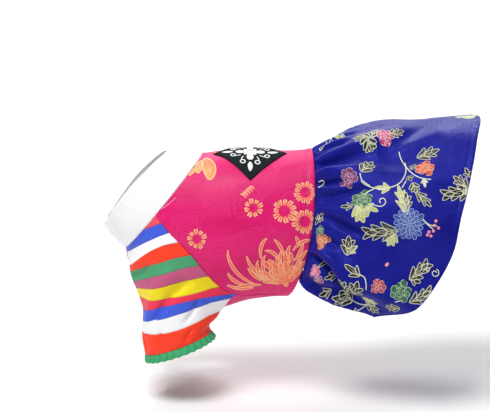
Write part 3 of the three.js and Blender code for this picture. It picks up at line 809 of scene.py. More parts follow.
class Needle:
    """Draws on a sheet: by spots of the side view, or in millimetres round one spot."""

    def __init__(self, motif, spot=None, angle=0.0, at=None):
        self.motif = motif
        self.start = find_on(motif.cloth, np.array([spot], float))[0] if spot is not None else at
        if self.start is not None:
            self.right, self.up = steps_on(motif.cloth, *self.start)
            self.turn = math.cos(math.radians(angle)), math.sin(math.radians(angle))

    def place(self, plane):
        if self.start is None:
            return find_on(self.motif.cloth, plane)
        x, y = plane[..., 0], plane[..., 1]
        x, y = x * self.turn[0] - y * self.turn[1], x * self.turn[1] + y * self.turn[0]
        return np.asarray(self.start) + x[..., None] * self.right + y[..., None] * self.up

    def thread(self, points, widths, colour, lift=0.22, count=None, across=5):
        points = np.asarray(points, float)
        count = count or max(6, 4 * len(points))
        line = bent(points, count)
        if np.ndim(widths) == 0:
            widths = np.full(count, float(widths))
        elif len(widths) != count:
            widths = np.interp(np.linspace(0, 1, count), np.linspace(0, 1, len(widths)), widths)
        spots, lifts = strip(line, widths, lift, across)
        tint = np.asarray(colour, float)
        if tint.ndim == 2:
            tint = lerp(tint[0], tint[1], np.linspace(0, 1, count)[:, None])[:, None, :]
        self.motif.grid(self.place(spots), lifts, tint)

    def petal(self, base, tip, width, colour, bend=0.0, where=0.6, lift=0.26, start=0.25, end=0.1,
              count=8, across=5):
        widths = taper(count, width * start, width, width * end, where)
        self.thread(arched(base, tip, bend), widths, colour, lift, count, across)

    def disc(self, centre, radius, colour, lift=0.3, lobes=0, depth=0.0, count=16, rim=None):
        angles = np.linspace(0, TURN, count, endpoint=False)
        edge = radius * (1 + depth * np.cos(angles * lobes)) if lobes else np.full(count, radius)
        rings = np.array([0.02, 0.4, 0.75, 1.0])
        spots = np.asarray(centre, float) + np.stack(
            [np.cos(angles) * edge * rings[:, None], np.sin(angles) * edge * rings[:, None]], -1)
        lifts = (0.05 + lift * (1 - rings**3))[:, None]
        tint = np.asarray(colour, float)
        if rim is not None:
            tint = lerp(tint, np.asarray(rim, float), (rings**2)[:, None])[:, None, :]
        self.motif.grid(self.place(spots), lifts, tint, closed=True)


# ---- Finishes ------------------------------------------------------------------------------------
def shade(red, green, blue):
    """A colour from its screen values, 0 to 255, as the shaders take it."""
    values = [v / 255 for v in (red, green, blue)]
    return tuple(v / 12.92 if v <= 0.04045 else ((v + 0.055) / 1.055) ** 2.4 for v in values)


class Finish:
    """A material under way: its nodes and its shader."""

    def __init__(self, name):
        self.material = bpy.data.materials.new(name)
        self.material.use_nodes = True
        self.tree = self.material.node_tree
        self.shader = next(n for n in self.tree.nodes if n.type == "BSDF_PRINCIPLED")

    def set(self, socket, value):
        if isinstance(value, bpy.types.NodeSocket):
            self.tree.links.new(value, socket)
        elif hasattr(value, "__len__") and socket.type == "RGBA":
            socket.default_value = (*value[:3], 1.0)
        else:
            socket.default_value = value

    def node(self, kind, sockets=None, **settings):
        made = self.tree.nodes.new("ShaderNode" + kind)
        for key, value in settings.items():
            setattr(made, key, value)
        for key, value in (sockets or {}).items():
            self.set(made.inputs[key], value)
        return made

    def sum(self, operation, first, second=None, third=None):
        made = self.node("Math", operation=operation)
        for socket, value in zip(made.inputs, (first, second, third)):
            if value is not None:
                self.set(socket, value)
        return made.outputs[0]

    def mix(self, factor, first, second, blend="MIX"):
        made = self.node("Mix", data_type="RGBA", blend_type=blend)
        for socket, value in zip((made.inputs[0], made.inputs[6], made.inputs[7]), (factor, first, second)):
            self.set(socket, value)
        return made.outputs[2]

    def bands(self, factor, stops):
        """Plain bands of colour, each from its place up to the next."""
        made = self.node("ValToRGB", {"Fac": factor})
        made.color_ramp.interpolation = "CONSTANT"
        stretches = made.color_ramp.elements
        while len(stretches) < len(stops):
            stretches.new(1.0)
        for stretch, (place, colour) in zip(stretches, stops):
            stretch.position, stretch.color = place, (*colour[:3], 1.0)
        return made.outputs["Color"]

    def flat(self):
        return self.node("UVMap", uv_map="UVMap").outputs["UV"]

    def scaled(self, vector, size):
        return self.node("VectorMath", {0: vector, 1: size}, operation="MULTIPLY").outputs[0]

    def clouds(self, vector, size, detail=3.0, roughness=0.55):
        """Uneven patches of about so many units across."""
        sockets = {"Vector": vector, "Scale": 1.0 / size, "Detail": detail, "Roughness": roughness}
        return self.node("TexNoise", sockets).outputs["Fac"]

    def weave(self, vector, thread, lean=1.0):
        """Threads over and under each other, each so many units wide."""
        split = self.node("SeparateXYZ", {0: vector})
        across = self.sum("SINE", self.sum("MULTIPLY", split.outputs[0], math.pi / thread))
        over = self.sum("SINE", self.sum("MULTIPLY", split.outputs[1], math.pi / thread * lean))
        return self.sum("MULTIPLY", across, over)

    def bump(self, *heights):
        """Heights as (value, depth in millimetres, strength), the coarsest first."""
        normal = None
        for value, depth, strength in heights:
            made = self.node("Bump", {"Height": value, "Distance": depth * 0.001, "Strength": strength})
            if normal is not None:
                self.set(made.inputs["Normal"], normal)
            normal = made.outputs["Normal"]
        self.set(self.shader.inputs["Normal"], normal)

    def shine(self, **sockets):
        names = {
            "specular": "Specular IOR Level", "specular_tint": "Specular Tint", "sheen": "Sheen Weight",
            "sheen_rough": "Sheen Roughness", "sheen_tint": "Sheen Tint", "anisotropic": "Anisotropic",
        }
        for key, value in sockets.items():
            socket = self.shader.inputs[names[key]]
            socket.default_value = (*value[:3], 1.0) if socket.type == "RGBA" else value

    def colour(self, base, rough):
        self.set(self.shader.inputs["Base Color"], base)
        self.set(self.shader.inputs["Roughness"], rough)
        return self.material


def plain_cloth(name, base, thread=0.7, rough=0.85, grey=0.06):
    """A plain woven cloth, a little uneven in its colour."""
    f = Finish(name)
    uv = f.flat()
    patch, slub = f.clouds(uv, 22.0), f.clouds(f.scaled(uv, (0.25, 2.2, 1)), 2.6)
    dull, dullest = (tuple(v * (1 - grey * amount) for v in base) for amount in (1, 1.6))
    tone = f.mix(f.sum("MULTIPLY", slub, 0.35), f.mix(patch, base, dull), dullest)
    f.bump((patch, 0.5, 0.25), (slub, 0.15, 0.25), (f.weave(uv, thread), 0.06, 0.4))
    f.shine(sheen=0.08, sheen_rough=0.5, specular=0.15)
    return f.colour(tone, f.sum("ADD", f.sum("MULTIPLY", slub, 0.1), rough - 0.05))


def brocade(name, base, deep, light, swirl=15.0, rough=0.42, sheen=0.06, gloss=0.2, figure=0.09, glint=(1, 1, 1)):
    """Satin with clouds of curling rings woven tone on tone."""
    f = Finish(name)
    uv = f.flat()
    drift = f.node("TexNoise", {"Vector": uv, "Scale": 1 / 18.0, "Detail": 2.0}).outputs["Color"]
    away = f.node("VectorMath", {0: drift, 1: (0.5, 0.5, 0.5)}, operation="SUBTRACT").outputs[0]
    moved = f.node("VectorMath", {0: uv, 1: f.scaled(away, (14, 14, 0))}, operation="ADD").outputs[0]
    cells = f.node("TexVoronoi", {"Vector": moved, "Scale": 1 / swirl}, feature="F1")
    rings = f.sum("SINE", f.sum("MULTIPLY", cells.outputs["Distance"], 30.0))
    curls = f.sum("SMOOTH_MIN", f.sum("MAXIMUM", f.sum("MULTIPLY_ADD", rings, 1.6, 0.4), 0.0), 1.0, 0.2)
    ground = f.sum("MULTIPLY", f.sum("GREATER_THAN", f.clouds(uv, 34.0, 1.0), 0.47), curls)
    wear = f.clouds(uv, 40.0)
    tone = f.mix(f.sum("MULTIPLY", ground, figure), f.mix(wear, base, deep), light)
    thread = f.clouds(f.scaled(uv, (0.22, 3.2, 1)), 1.7, 2.0)
    tone = f.mix(f.sum("MULTIPLY", thread, 0.2), tone, deep)
    f.bump((wear, 0.6, 0.2), (ground, 0.12, 0.5), (thread, 0.1, 0.3), (f.weave(uv, 0.6, 0.5), 0.05, 0.35))
    f.shine(sheen=sheen, sheen_rough=0.4, sheen_tint=light, specular=gloss, specular_tint=glint, anisotropic=0.3)
    return f.colour(tone, f.sum("MULTIPLY_ADD", ground, 0.14, f.sum("MULTIPLY_ADD", thread, 0.12, rough - 0.06)))


def striped_satin(name, stripes):
    """Satin sewn from strips: the Stripe value of the mesh counts them, and each seam lies a little lower, with
    painted shade along it.
    """
    f = Finish(name)
    uv = f.flat()
    count = f.node("Attribute", attribute_name="Stripe").outputs["Fac"]
    spread = f.sum("DIVIDE", f.sum("ADD", count, 1.0), float(len(stripes)))
    tone = f.bands(spread, [(i / len(stripes), colour) for i, colour in enumerate(stripes)])
    beside = f.sum("ABSOLUTE", f.sum("SUBTRACT", f.sum("FRACT", count), 0.5))
    seam = f.sum("MULTIPLY", f.sum("GREATER_THAN", beside, 0.44), f.sum("MULTIPLY_ADD", beside, 16.0, -7.0))
    patch, thread = f.clouds(uv, 26.0), f.clouds(f.scaled(uv, (0.3, 2.6, 1)), 1.8, 2.0)
    # the strips darken towards near black along each seam: painted shade in the dip where two strips meet
    tone = f.mix(f.sum("MULTIPLY", seam, 0.35), tone, (0.02, 0.01, 0.02))
    tone = f.mix(f.sum("MULTIPLY", thread, 0.18), tone, f.mix(1.0, tone, (0.55, 0.5, 0.55), "MULTIPLY"))
    low_seam = f.sum("SUBTRACT", 1.0, seam)
    f.bump((patch, 0.7, 0.3), (low_seam, 0.35, 0.7), (thread, 0.12, 0.3), (f.weave(uv, 0.6), 0.05, 0.35))
    f.shine(sheen=0.06, sheen_rough=0.4, specular=0.25)
    return f.colour(tone, f.sum("MULTIPLY_ADD", patch, 0.12, f.sum("MULTIPLY_ADD", thread, 0.1, 0.44)))


def felt(name, base):
    """Short matted fibres."""
    f = Finish(name)
    uv = f.flat()
    fuzz, mat = f.clouds(uv, 0.7, 6.0, 0.75), f.clouds(uv, 6.0)
    tone = f.mix(f.sum("MULTIPLY", fuzz, 0.6), base, tuple(v * 2.6 + 0.006 for v in base))
    f.bump((mat, 0.4, 0.4), (fuzz, 0.25, 0.8))
    f.shine(sheen=0.05, sheen_rough=0.6, sheen_tint=(0.5, 0.6, 0.6), specular=0.06)
    return f.colour(tone, f.sum("MULTIPLY_ADD", fuzz, 0.1, 0.84))


def thread_finish(name):
    """Floss laid side by side, in the colour that each figure of the mesh carries."""
    f = Finish(name)
    uv = f.flat()
    colour = f.node("Attribute", attribute_name="Thread").outputs["Color"]
    strand = f.sum("SINE", f.sum("MULTIPLY", f.node("SeparateXYZ", {0: uv}).outputs[1], 5.2))
    grain = f.clouds(uv, 0.8, 2.0)
    # a darker floss colour, mixed in partly by random grain and partly by the strand waves as painted shade
    # between the strands
    between = f.mix(1.0, colour, (0.5, 0.45, 0.42), "MULTIPLY")
    tone = f.mix(f.sum("MULTIPLY_ADD", strand, 0.06, f.sum("MULTIPLY", grain, 0.2)), colour, between)
    f.bump((grain, 0.08, 0.3), (strand, 0.16, 0.5))
    f.shine(sheen=0.05, specular=0.3)
    return f.colour(tone, f.sum("MULTIPLY_ADD", grain, 0.2, 0.33))


def studio_finish(name, colour):
    """Matt paper for the floor and what stands behind."""
    f = Finish(name)
    where = f.node("TexCoord").outputs["Object"]
    grain = f.node("TexNoise", {"Vector": where, "Scale": 3.0, "Detail": 2.0}).outputs["Fac"]
    f.shine(specular=0.1)
    return f.colour(f.mix(grain, colour, tuple(v * 0.985 for v in colour)), 0.9)


# ---- The woven figures ---------------------------------------------------------------------------
PEACH, CORAL, GOLD, SALMON = shade(255, 208, 150), shade(255, 108, 84), shade(255, 168, 92), shade(255, 104, 108)
PALE_ROSE = shade(255, 150, 175)
CREAM, OLIVE, INK = shade(224, 226, 194), shade(182, 190, 112), shade(24, 26, 30)
PINK, MAUVE, FLAME, JADE = shade(206, 70, 122), shade(118, 50, 98), shade(216, 82, 50), shade(58, 104, 80)
PALE_BLUE, WHITE = shade(150, 176, 218), shade(240, 240, 240)


def polar(radius, angle):
    return np.array([radius * math.cos(angle), radius * math.sin(angle)])


def ring_blossom(needle, radius, count, hollow=0.46, turn=0.3):
    """A ring of split petals round an open middle."""
    step = TURN / count
    for k in range(count):
        angle = turn + k * step
        reach = radius * (1 + 0.07 * math.sin(k * 2.6 + radius))
        for side in (-1, 1):
            base = polar(radius * hollow, angle + side * step * 0.07)
            tip = polar(reach, angle + side * step * 0.15)
            colour = (CORAL, PEACH) if (k + side) % 3 else (SALMON, PEACH)
            needle.petal(base, tip, step * radius * 0.27, colour, side * 0.1, 0.62, start=0.6, end=0.66, count=7)


def arched(base, tip, bend=0.0):
    """A line from base to tip through a middle set aside by bend times its length."""
    base, tip = np.asarray(base, float), np.asarray(tip, float)
    return [base, (base + tip) / 2 + np.array([-(tip - base)[1], (tip - base)[0]]) * bend, tip]


def outlined(needle, points, width, fill, line, where=0.5, thick=0.8, vein=True, count=9):
    """A lobe along a line in dark floss with a light edge all round and a light vein."""
    path = bent(points, count)
    widths = taper(count, width * 0.12, width, width * 0.05, where)
    needle.thread(path, widths, fill, 0.1, count, 5)
    ahead = np.gradient(path, axis=0)
    side = unit(np.stack([-ahead[:, 1], ahead[:, 0]], -1)) * (widths / 2)[:, None]
    for way in (-1, 1):
        needle.thread(path + side * way, thick, line, 0.36, count, 3)
    if vein:
        needle.thread(path[: 2 * count // 3 + 1], thick * 0.6, line, 0.36, count - 3, 3)


def leaf(needle, base, tip, width, fill, pairs):
    """A toothed leaf with a light edge: pairs of side lobes and one at the tip."""
    base, tip = np.asarray(base, float), np.asarray(tip, float)
    long = tip - base
    side = np.array([-long[1], long[0]]) / np.linalg.norm(long)
    thick = min(0.6, 0.26 + 0.038 * width)
    for k in range(pairs):
        share = 0.02 + 0.3 * k
        for way in (-1, 1):
            end = base + long * (share + 0.46) + side * way * width * (0.64 - 0.12 * k)
            lobe = arched(base + long * share, end, way * -0.1)
            outlined(needle, lobe, width * 0.38, fill, CREAM, 0.45, thick, vein=width > 11 and k == 0)
    outlined(needle, arched(base + long * 0.15, tip), width * 0.48, fill, CREAM, 0.5, thick, vein=width > 8)


def peony(needle, radius, fill, line, turn=0.0):
    """A rounded flower of a few uneven petals, each with its own light edge."""
    deep = tuple(v * 0.45 for v in fill)
    for ring, count, size in ((0.68, 8, 0.34), (0.3, 5, 0.27), (0.0, 1, 0.2)):
        for k in range(count):
            away = ring * radius * (1 + 0.16 * math.sin(k * 3.7 + turn * 5))
            spot = polar(away, turn + (k + 0.3 * math.sin(k * 2.1 + ring)) * TURN / count + ring)
            size_here = size * radius * (1 + 0.16 * math.sin(k * 2.3 + ring * 9 + turn))
            needle.disc(spot, size_here, fill, 0.12 + 0.05 * (ring < 0.5), count=12, rim=deep)
            ring_line(needle, spot, size_here * 0.94, line, 0.6, k * 1.3, 0.85)


def ring_line(needle, centre, radius, colour, width=0.5, start=0.0, share=1.0, grow=1.0):
    t = np.linspace(0, 1, 15)
    angles = start + TURN * share * t
    reach = radius * lerp(1.0, grow, t)
    points = np.asarray(centre, float) + np.stack([np.cos(angles) * reach, np.sin(angles) * reach], -1)
    needle.thread(points, width, colour, 0.4, 15, 3)


def many_petals(needle, radius, fill, line, turn=0.0):
    """A full round flower of narrow petals in rings."""
    rings = ((0.56, 1.0, 15, 0.26), (0.32, 0.74, 11, 0.24), (0.1, 0.48, 8, 0.2), (0.0, 0.24, 4, 0.15))
    for start, end, count, width in rings:
        for k in range(count):
            angle = turn + k * TURN / count + start * 2
            tip = polar(end * radius * (1 + 0.08 * math.sin(k * 1.9)), angle + 0.06)
            petal = arched(polar(start * radius, angle), tip, 0.08)
            outlined(needle, petal, width * radius, fill, line, 0.7, 0.56, vein=False)


def curl(needle, radius, start, way):
    """A tendril that winds in on itself."""
    ring_line(needle, (0, 0), radius, CREAM, 0.8, start, way * 1.15, 0.35)


# The ring blossoms: spot, radius in millimetres, petals.
RING_BLOSSOMS = (
    ((284, 211), 10.6, 11), ((253.5, 208), 8.3, 8), ((305.5, 192.5), 10.0, 12), ((305, 221.5), 10.6, 12),
    ((197, 239), 8.6, 9),
)
# The great flower at the waist: angle and reach of each petal's tip from the heart, angle and reach of its
# root, and how far it curls, all in degrees and steps of the side view.
GREAT_HEART = (285, 283)
GREAT_PETALS = (
    (150, 66, 182, 30, 36), (170, 58, 182, 40, 30), (182, 58, 188, 32, 16), (112, 48, 134, 34, 36),
    (145, 47, 170, 22, 16), (158, 40, 174, 24, 12), (140, 35, 172, 18, 44), (125, 34, 168, 17, 36),
    (117, 25, 160, 12, 34), (104, 45, 92, 27, -16), (122, 38, 102, 20, -38), (58, 50, 76, 33, 34),
    (77, 48, 70, 40, -10), (66, 44, 68, 24, -18), (82, 38, 75, 21, 32), (56, 40, 57, 17, 6),
    (186, 52, 184, 24, -8), (150, 30, 180, 10, 30), (96, 33, 100, 12, 20), (44, 32, 60, 12, 12),
)


def jacket_figures():
    """Ring blossoms, a golden bud at the shoulder and the great thin petalled flower at the waist."""
    motif = Motif(SHEETS["jacket"])
    for spot, radius, count in RING_BLOSSOMS:
        ring_blossom(Needle(motif, spot), radius, count)
    plane = Needle(motif)
    for k in range(5):
        x, y = 243.2 + k * 2.1, 197.0 - k * 2.2
        low, high = (x - 2.6, y - 3.0 + 0.4 * k), (x + 2.8, y + 1.6)
        plane.petal(low, high, 2.1, (PEACH, SALMON), -0.22, 0.5, start=0.5, end=0.5)
    heart = np.array(GREAT_HEART, float)
    for tip_angle, tip_reach, root_angle, root_reach, turned in GREAT_PETALS:
        tip = heart + polar(tip_reach, math.radians(tip_angle)) * (1, -1)
        root = heart + polar(root_reach, math.radians(root_angle)) * (1, -1)
        chord = tip - root
        long, lean = np.linalg.norm(chord), math.atan2(-chord[1], chord[0])
        leave, arrive = (polar(long, lean + way * math.radians(turned)) * (1, -1) for way in (1, -1.25))
        path = hermite(root, leave, tip, arrive, np.linspace(0, 1, 9))
        outlined(plane, path, 2.9, (SALMON, CORAL), PEACH, 0.55, 0.72, vein=False, count=17)
    # broad petals close round the heart, tier over tier
    for reach, start, count, wide in ((30, 8, 9, 5.2), (21, 6, 7, 5.0), (12.5, 2, 5, 4.6)):
        for k in range(count):
            angle = math.radians(lerp(172, 44, k / (count - 1)) + 4 * math.sin(k * 2.7 + reach))
            far = reach * (1 + 0.08 * math.sin(k * 1.7 + reach))
            tip, root = heart + polar(far, angle) * (1, -1), heart + polar(start, angle + 0.25) * (1, -1)
            outlined(plane, arched(root, tip, 0.1), wide, (SALMON, CORAL), (GOLD, PEACH), 0.62, 0.72, vein=False)
    plane.disc(heart + (1, 1), 3.0, GOLD, 0.4, count=14, rim=CORAL)
    # the golden bud beside the neckline and its narrow leaf
    outlined(plane, arched((204.5, 158.5), (210, 180), -0.1), 13.0, (CORAL, GOLD), PEACH, 0.45, 1.1, count=13)
    outlined(plane, arched((202.5, 161), (198, 173.5), 0.12), 6.5, (SALMON, GOLD), PEACH, 0.5, 0.9, count=11)
    outlined(plane, arched((203, 163), (189, 175.5), 0.06), 4.4, (CORAL, GOLD), PEACH, 0.5, 0.8, count=11)
    for k in range(6):
        top, middle = (201.8 + 2.1 * k, 163.5 + 0.5 * k), (203.2 + 1.6 * k, 168.5)
        plane.thread([top, middle, (205.6 + 0.9 * k, 174.5 - 0.4 * abs(k - 2))], 0.55, PEACH, 0.4, 9, 3)
    plane.petal((214.5, 152.8), (219.5, 154.4), 1.9, (PEACH, GOLD), 0.1, 0.5, start=0.4, end=0.3, count=6)
    plane.thread([(157.5, 209), (163, 208), (168, 204.5), (172, 201), (176, 197.5)], 0.7, PALE_ROSE, 0.16, 16, 3)
    return motif.object("jacket_figures", height=0.05)


def chest_figures():
    """Golden beading along the belly seam."""
    motif = Motif(SHEETS["chest_panel"])
    plane = Needle(motif)
    for k in range(9):
        root, tip = (229.0 + 1.6 * k, 295.2 - 0.25 * k), (230.6 + 1.6 * k, 291.8 - 0.3 * k)
        plane.petal(root, tip, 1.3, (GOLD, PEACH), 0.1, 0.5, start=0.5, end=0.4, count=5)
    return motif.object("chest_figures", height=0.05)


def stitch_row(motif, starts, ends, width, colour):
    """Single stitches between pairs of shares."""
    for first, last in zip(starts, ends):
        t = np.linspace(0, 1, 5)[:, None]
        line = np.asarray(first) * (1 - t) + np.asarray(last) * t
        across = np.linspace(-0.5, 0.5, 3)
        crown = (0.02 + 0.2 * np.sin(t * math.pi)) * (1 - np.abs(across * 2) * 0.9)
        motif.grid(line[:, None] + across[None, :, None] * np.asarray(width), crown, colour)


def waist_stitches(sizes):
    motif = Motif(SHEETS["jacket"])
    share = 1 - STITCH_LINE / JACKET_LENGTH
    whole = 2 * float(side_seam(share)) * BACK_RADIUS
    count = int(whole / (sizes.stitch_pitch * 1000))
    places = (np.arange(count) + 0.5) / count
    half = sizes.stitch_length * 500 / whole
    starts, ends = [(p - half, share) for p in places], [(p + half, share) for p in places]
    stitch_row(motif, starts, ends, (0, 0.62 / JACKET_LENGTH), shade(120, 10, 62))
    return motif.object("waist_stitches", both_sides=False)


def patch_figures():
    """White embroidery, the same to all four corners of the patch."""
    motif = Motif(SHEETS["patch"])
    for quarter in range(4):
        needle = Needle(motif, at=(0.5, 0.5), angle=90 * quarter)
        step = 1 / (2 * PATCH_HALF)
        needle.right, needle.up = np.array([step, step]), np.array([-step, step])
        needle.petal((3.0, 0), (13.2, 0), 6.2, WHITE, 0, 0.62, 0.35, 0.3, 0.3, 10, 7)
        needle.petal((15.6, 0), (25.5, 0), 4.4, WHITE, 0, 0.45, 0.35, 0.15, 0.1, 10, 7)
        for way in (-1, 1):
            needle.petal((1.2, way * 1.6), (5.4, way * 5.4), 3.0, WHITE, 0, 0.6, 0.35, 0.4, 0.4)
            ring_line(needle, (15.4, way * 6.6), 2.1, WHITE, 1.15)
            needle.thread([(13.4, way * 7.6), (11, way * 7.5), (8.5, way * 6.0)], 0.9, WHITE, 0.3, 8, 3)
        needle.disc((3.4, 3.4), 1.0, shade(200, 190, 200), 0.3, count=8)
    needle.disc((0, 0), 2.6, WHITE, 0.5, 5, 0.12, 20)
    for k in range(5):
        needle.disc(polar(1.5, k * TURN / 5), 0.5, shade(150, 90, 120), 0.7, count=8)
    return motif.object("patch_figures", both_sides=False, height=0.05)


# Flowers on the skirt: kind, spot in the side view, radius in millimetres, floss, edge.
SKIRT_FLOWERS = (
    ("peony", (385, 136), 7.6, PINK, shade(245, 200, 215)),
    ("peony", (348.5, 178.5), 8.6, MAUVE, shade(205, 160, 190)),
    ("peony", (425, 168), 8.4, FLAME, shade(250, 190, 150)),
    ("peony", (362, 199), 9.0, JADE, shade(170, 205, 160)),
    ("peony", (322, 241), 7.0, shade(196, 96, 60), shade(240, 190, 150)),
    ("peony", (378, 287), 6.4, shade(190, 70, 90), shade(235, 170, 170)),
    ("peony", (401, 292), 9.0, JADE, shade(165, 205, 165)),
    ("peony", (320, 231), 4.6, JADE, shade(150, 190, 150)),
    ("many", (409, 224), 13.6, shade(52, 72, 158), PALE_BLUE),
    ("peony", (315, 271), 5.4, PINK, shade(240, 190, 205)),
    ("peony", (318, 280), 4.6, MAUVE, shade(225, 170, 200)),
)
# Leaves on the skirt: root, tip, width in steps of the side view, floss, pairs of side lobes.
SKIRT_LEAVES = (
    ((319, 153), (333, 138), 8, INK, 2), ((345, 131), (334, 137), 5, OLIVE, 1),
    ((369, 140), (354, 134), 11, INK, 2), ((371, 138), (377, 127), 9, INK, 2),
    ((389, 136), (403, 129), 8, INK, 2), ((369, 141), (371, 151), 11, INK, 2),
    ((362, 172), (372, 161), 12, INK, 2), ((389, 189), (376, 187), 9, OLIVE, 1),
    ((418, 157), (438, 151), 12, INK, 2), ((411, 170), (415, 164), 5, INK, 1),
    ((424, 179), (425, 187), 5, CREAM, 1), ((357, 206), (363, 221), 13, OLIVE, 2),
    ((352, 207), (341, 206), 6, INK, 1), ((366, 206), (377, 211), 8, OLIVE, 1),
    ((396, 231), (367, 233), 14, INK, 3), ((395, 234), (388, 245), 10, OLIVE, 2),
    ((404, 211), (399, 186), 9, OLIVE, 2), ((406, 210), (406, 193), 9, INK, 2),
    ((409, 176), (411, 181), 6, INK, 1), ((413, 183), (416, 193), 8, INK, 2),
    ((417, 192), (430, 206), 8, INK, 2), ((348, 254), (349, 237), 12, INK, 2),
    ((350, 253), (357, 246), 6, OLIVE, 1), ((359, 275), (346, 266), 9, INK, 1),
    ((344, 293), (340, 280), 11, INK, 2), ((352, 300), (358, 282), 12, INK, 2),
    ((362, 302), (377, 299), 10, OLIVE, 2), ((329, 289), (320, 298), 8, INK, 1),
    ((352, 300), (334, 297), 10, INK, 2), ((366, 305), (379, 311), 9, INK, 2),
    ((411, 279), (427, 264), 11, INK, 3), ((412, 280), (420, 282), 7, INK, 1),
    ((411, 303), (429, 292), 10, INK, 3), ((399, 306), (386, 310), 9, INK, 2),
    ((470, 191), (446, 195), 13, INK, 3), ((467, 188), (455, 177), 10, shade(70, 30, 70), 2),
    ((469, 177), (466, 168), 7, INK, 1), ((467, 190), (471, 199), 8, CREAM, 1),
    ((318, 220), (323, 214), 7, INK, 1), ((320, 217), (315, 224), 6, INK, 1),
    ((330, 258), (322, 266), 6, INK, 1), ((334, 275), (326, 279), 7, INK, 1),
)
SKIRT_STEMS = (
    ((361, 181), (366, 185), (376, 188.5), (387, 188), (397, 185), (403, 179), (406, 171), (405, 163)),
    ((399, 152), (401, 159), (406, 167), (413, 174), (421, 178), (431, 179.5)),
    ((362, 199), (366, 193), (374, 189)), ((360, 173), (362, 180), (370, 186)), ((402, 188), (406, 181)),
    ((423, 219), (427, 224), (433, 229)), ((423, 220), (430, 225), (437, 226)),
    ((358, 274), (364, 277), (366, 283), (366, 290)), ((372, 138), (377, 135)),
    ((368, 304), (357, 311), (346, 313)), ((395, 302), (403, 300)), ((352, 300), (360, 304), (370, 305)),
    ((407, 215), (409, 205), (407, 196)), ((344, 293), (352, 300)),
    ((371, 204), (380.5, 206.4), (385.3, 203.3), (384.9, 199.4), (382.1, 198.2), (379.6, 200.2), (380.4, 203)),
    ((318.1, 187.5), (322.5, 185.2), (324.1, 182.2), (321.9, 180.6), (318.8, 182.2)),
)
SKIRT_CURLS = (((435, 273), 3.8, 1.2, -1), ((428, 270), 2.2, 0.4, 1))
BERRIES = (
    (436, 221), (434.5, 225.5), (438.5, 228), (429, 232), (431, 236), (427.5, 235), (433.5, 231),
    (386.5, 265), (387.5, 264),
)


def skirt_figures():
    """Sprays of leaves, flowers and stems over the skirt, the same on both sides."""
    motif = Motif(SHEETS["skirt"])
    plane = Needle(motif)
    for points in SKIRT_STEMS:
        plane.thread(points, 1.0, CREAM, 0.3, 4 * len(points), 3)
    for kind, spot, radius, fill, line in SKIRT_FLOWERS:
        needle = Needle(motif, spot)
        (peony if kind == "peony" else many_petals)(needle, radius, fill, line, spot[0] % 3)
    for root, tip, width, fill, pairs in SKIRT_LEAVES:
        middle = ((root[0] + tip[0]) / 2, (root[1] + tip[1]) / 2)
        needle = Needle(motif, middle)
        half = np.array([tip[0] - root[0], root[1] - tip[1]]) * VIEW_STEP * 0.55
        leaf(needle, -half, half, width * VIEW_STEP, fill, pairs)
    for centre, radius, start, way in SKIRT_CURLS:
        curl(Needle(motif, centre), radius, start, way)
    for spot in BERRIES:
        Needle(motif, spot).disc((0, 0), 1.5, shade(244, 186, 192), 0.3, count=10, rim=shade(206, 84, 104))
    return motif.object("skirt_figures", height=0.05)


def spine_figures():
    """Sprays over the spine, where the two sides of the skirt meet."""
    motif = Motif(SHEETS["skirt"])
    for side, share, angle in ((-0.15, 0.3, 30), (-0.12, 0.6, 150), (-0.01, 0.92, 280)):
        needle = Needle(motif, at=(side, share), angle=angle)
        for way in (0.0, 1.5, 3.6):
            leaf(needle, polar(1, way), polar(11, way + 0.2), 9, INK if way else OLIVE, 2)
        peony(Needle(motif, at=(side, share), angle=angle), 4.5, FLAME if share > 0.5 else PINK, CREAM)
    return motif.object("spine_figures", both_sides=False, height=0.05)


# ---- What a user may change ----------------------------------------------------------------------
def length_setting(name, description, default, low=0.0, high=5.0):
    return bpy.props.FloatProperty(name=name, description=description, default=default, min=low, max=high,
                                   subtype="DISTANCE", unit="LENGTH", precision=5)


def power_setting(name, description, default, high):
    return bpy.props.FloatProperty(name=name, description=description, default=default, min=0.0, max=high,
                                   unit="POWER")


def colour_setting(name, description, default):
    return bpy.props.FloatVectorProperty(name=name, description=description, default=default, size=3,
                                         min=0.0, max=1.0, subtype="COLOR")


class DressSizes(bpy.types.PropertyGroup):
    thickness: length_setting("Cloth Thickness", "How thick each sheet of cloth is", 0.0009, 0.0003, 0.0014)
    ruffle_thickness: length_setting(
        "Ruffle Thickness", "How thick the ruffled cuff bands are", 0.0008, 0.0003, 0.0014)
    stitch_length: length_setting("Stitch Length", "Length of a topstitch", 0.0021, 0.001, 0.005)
    stitch_pitch: length_setting("Stitch Pitch", "From one topstitch to the next", 0.0034, 0.0015, 0.01)


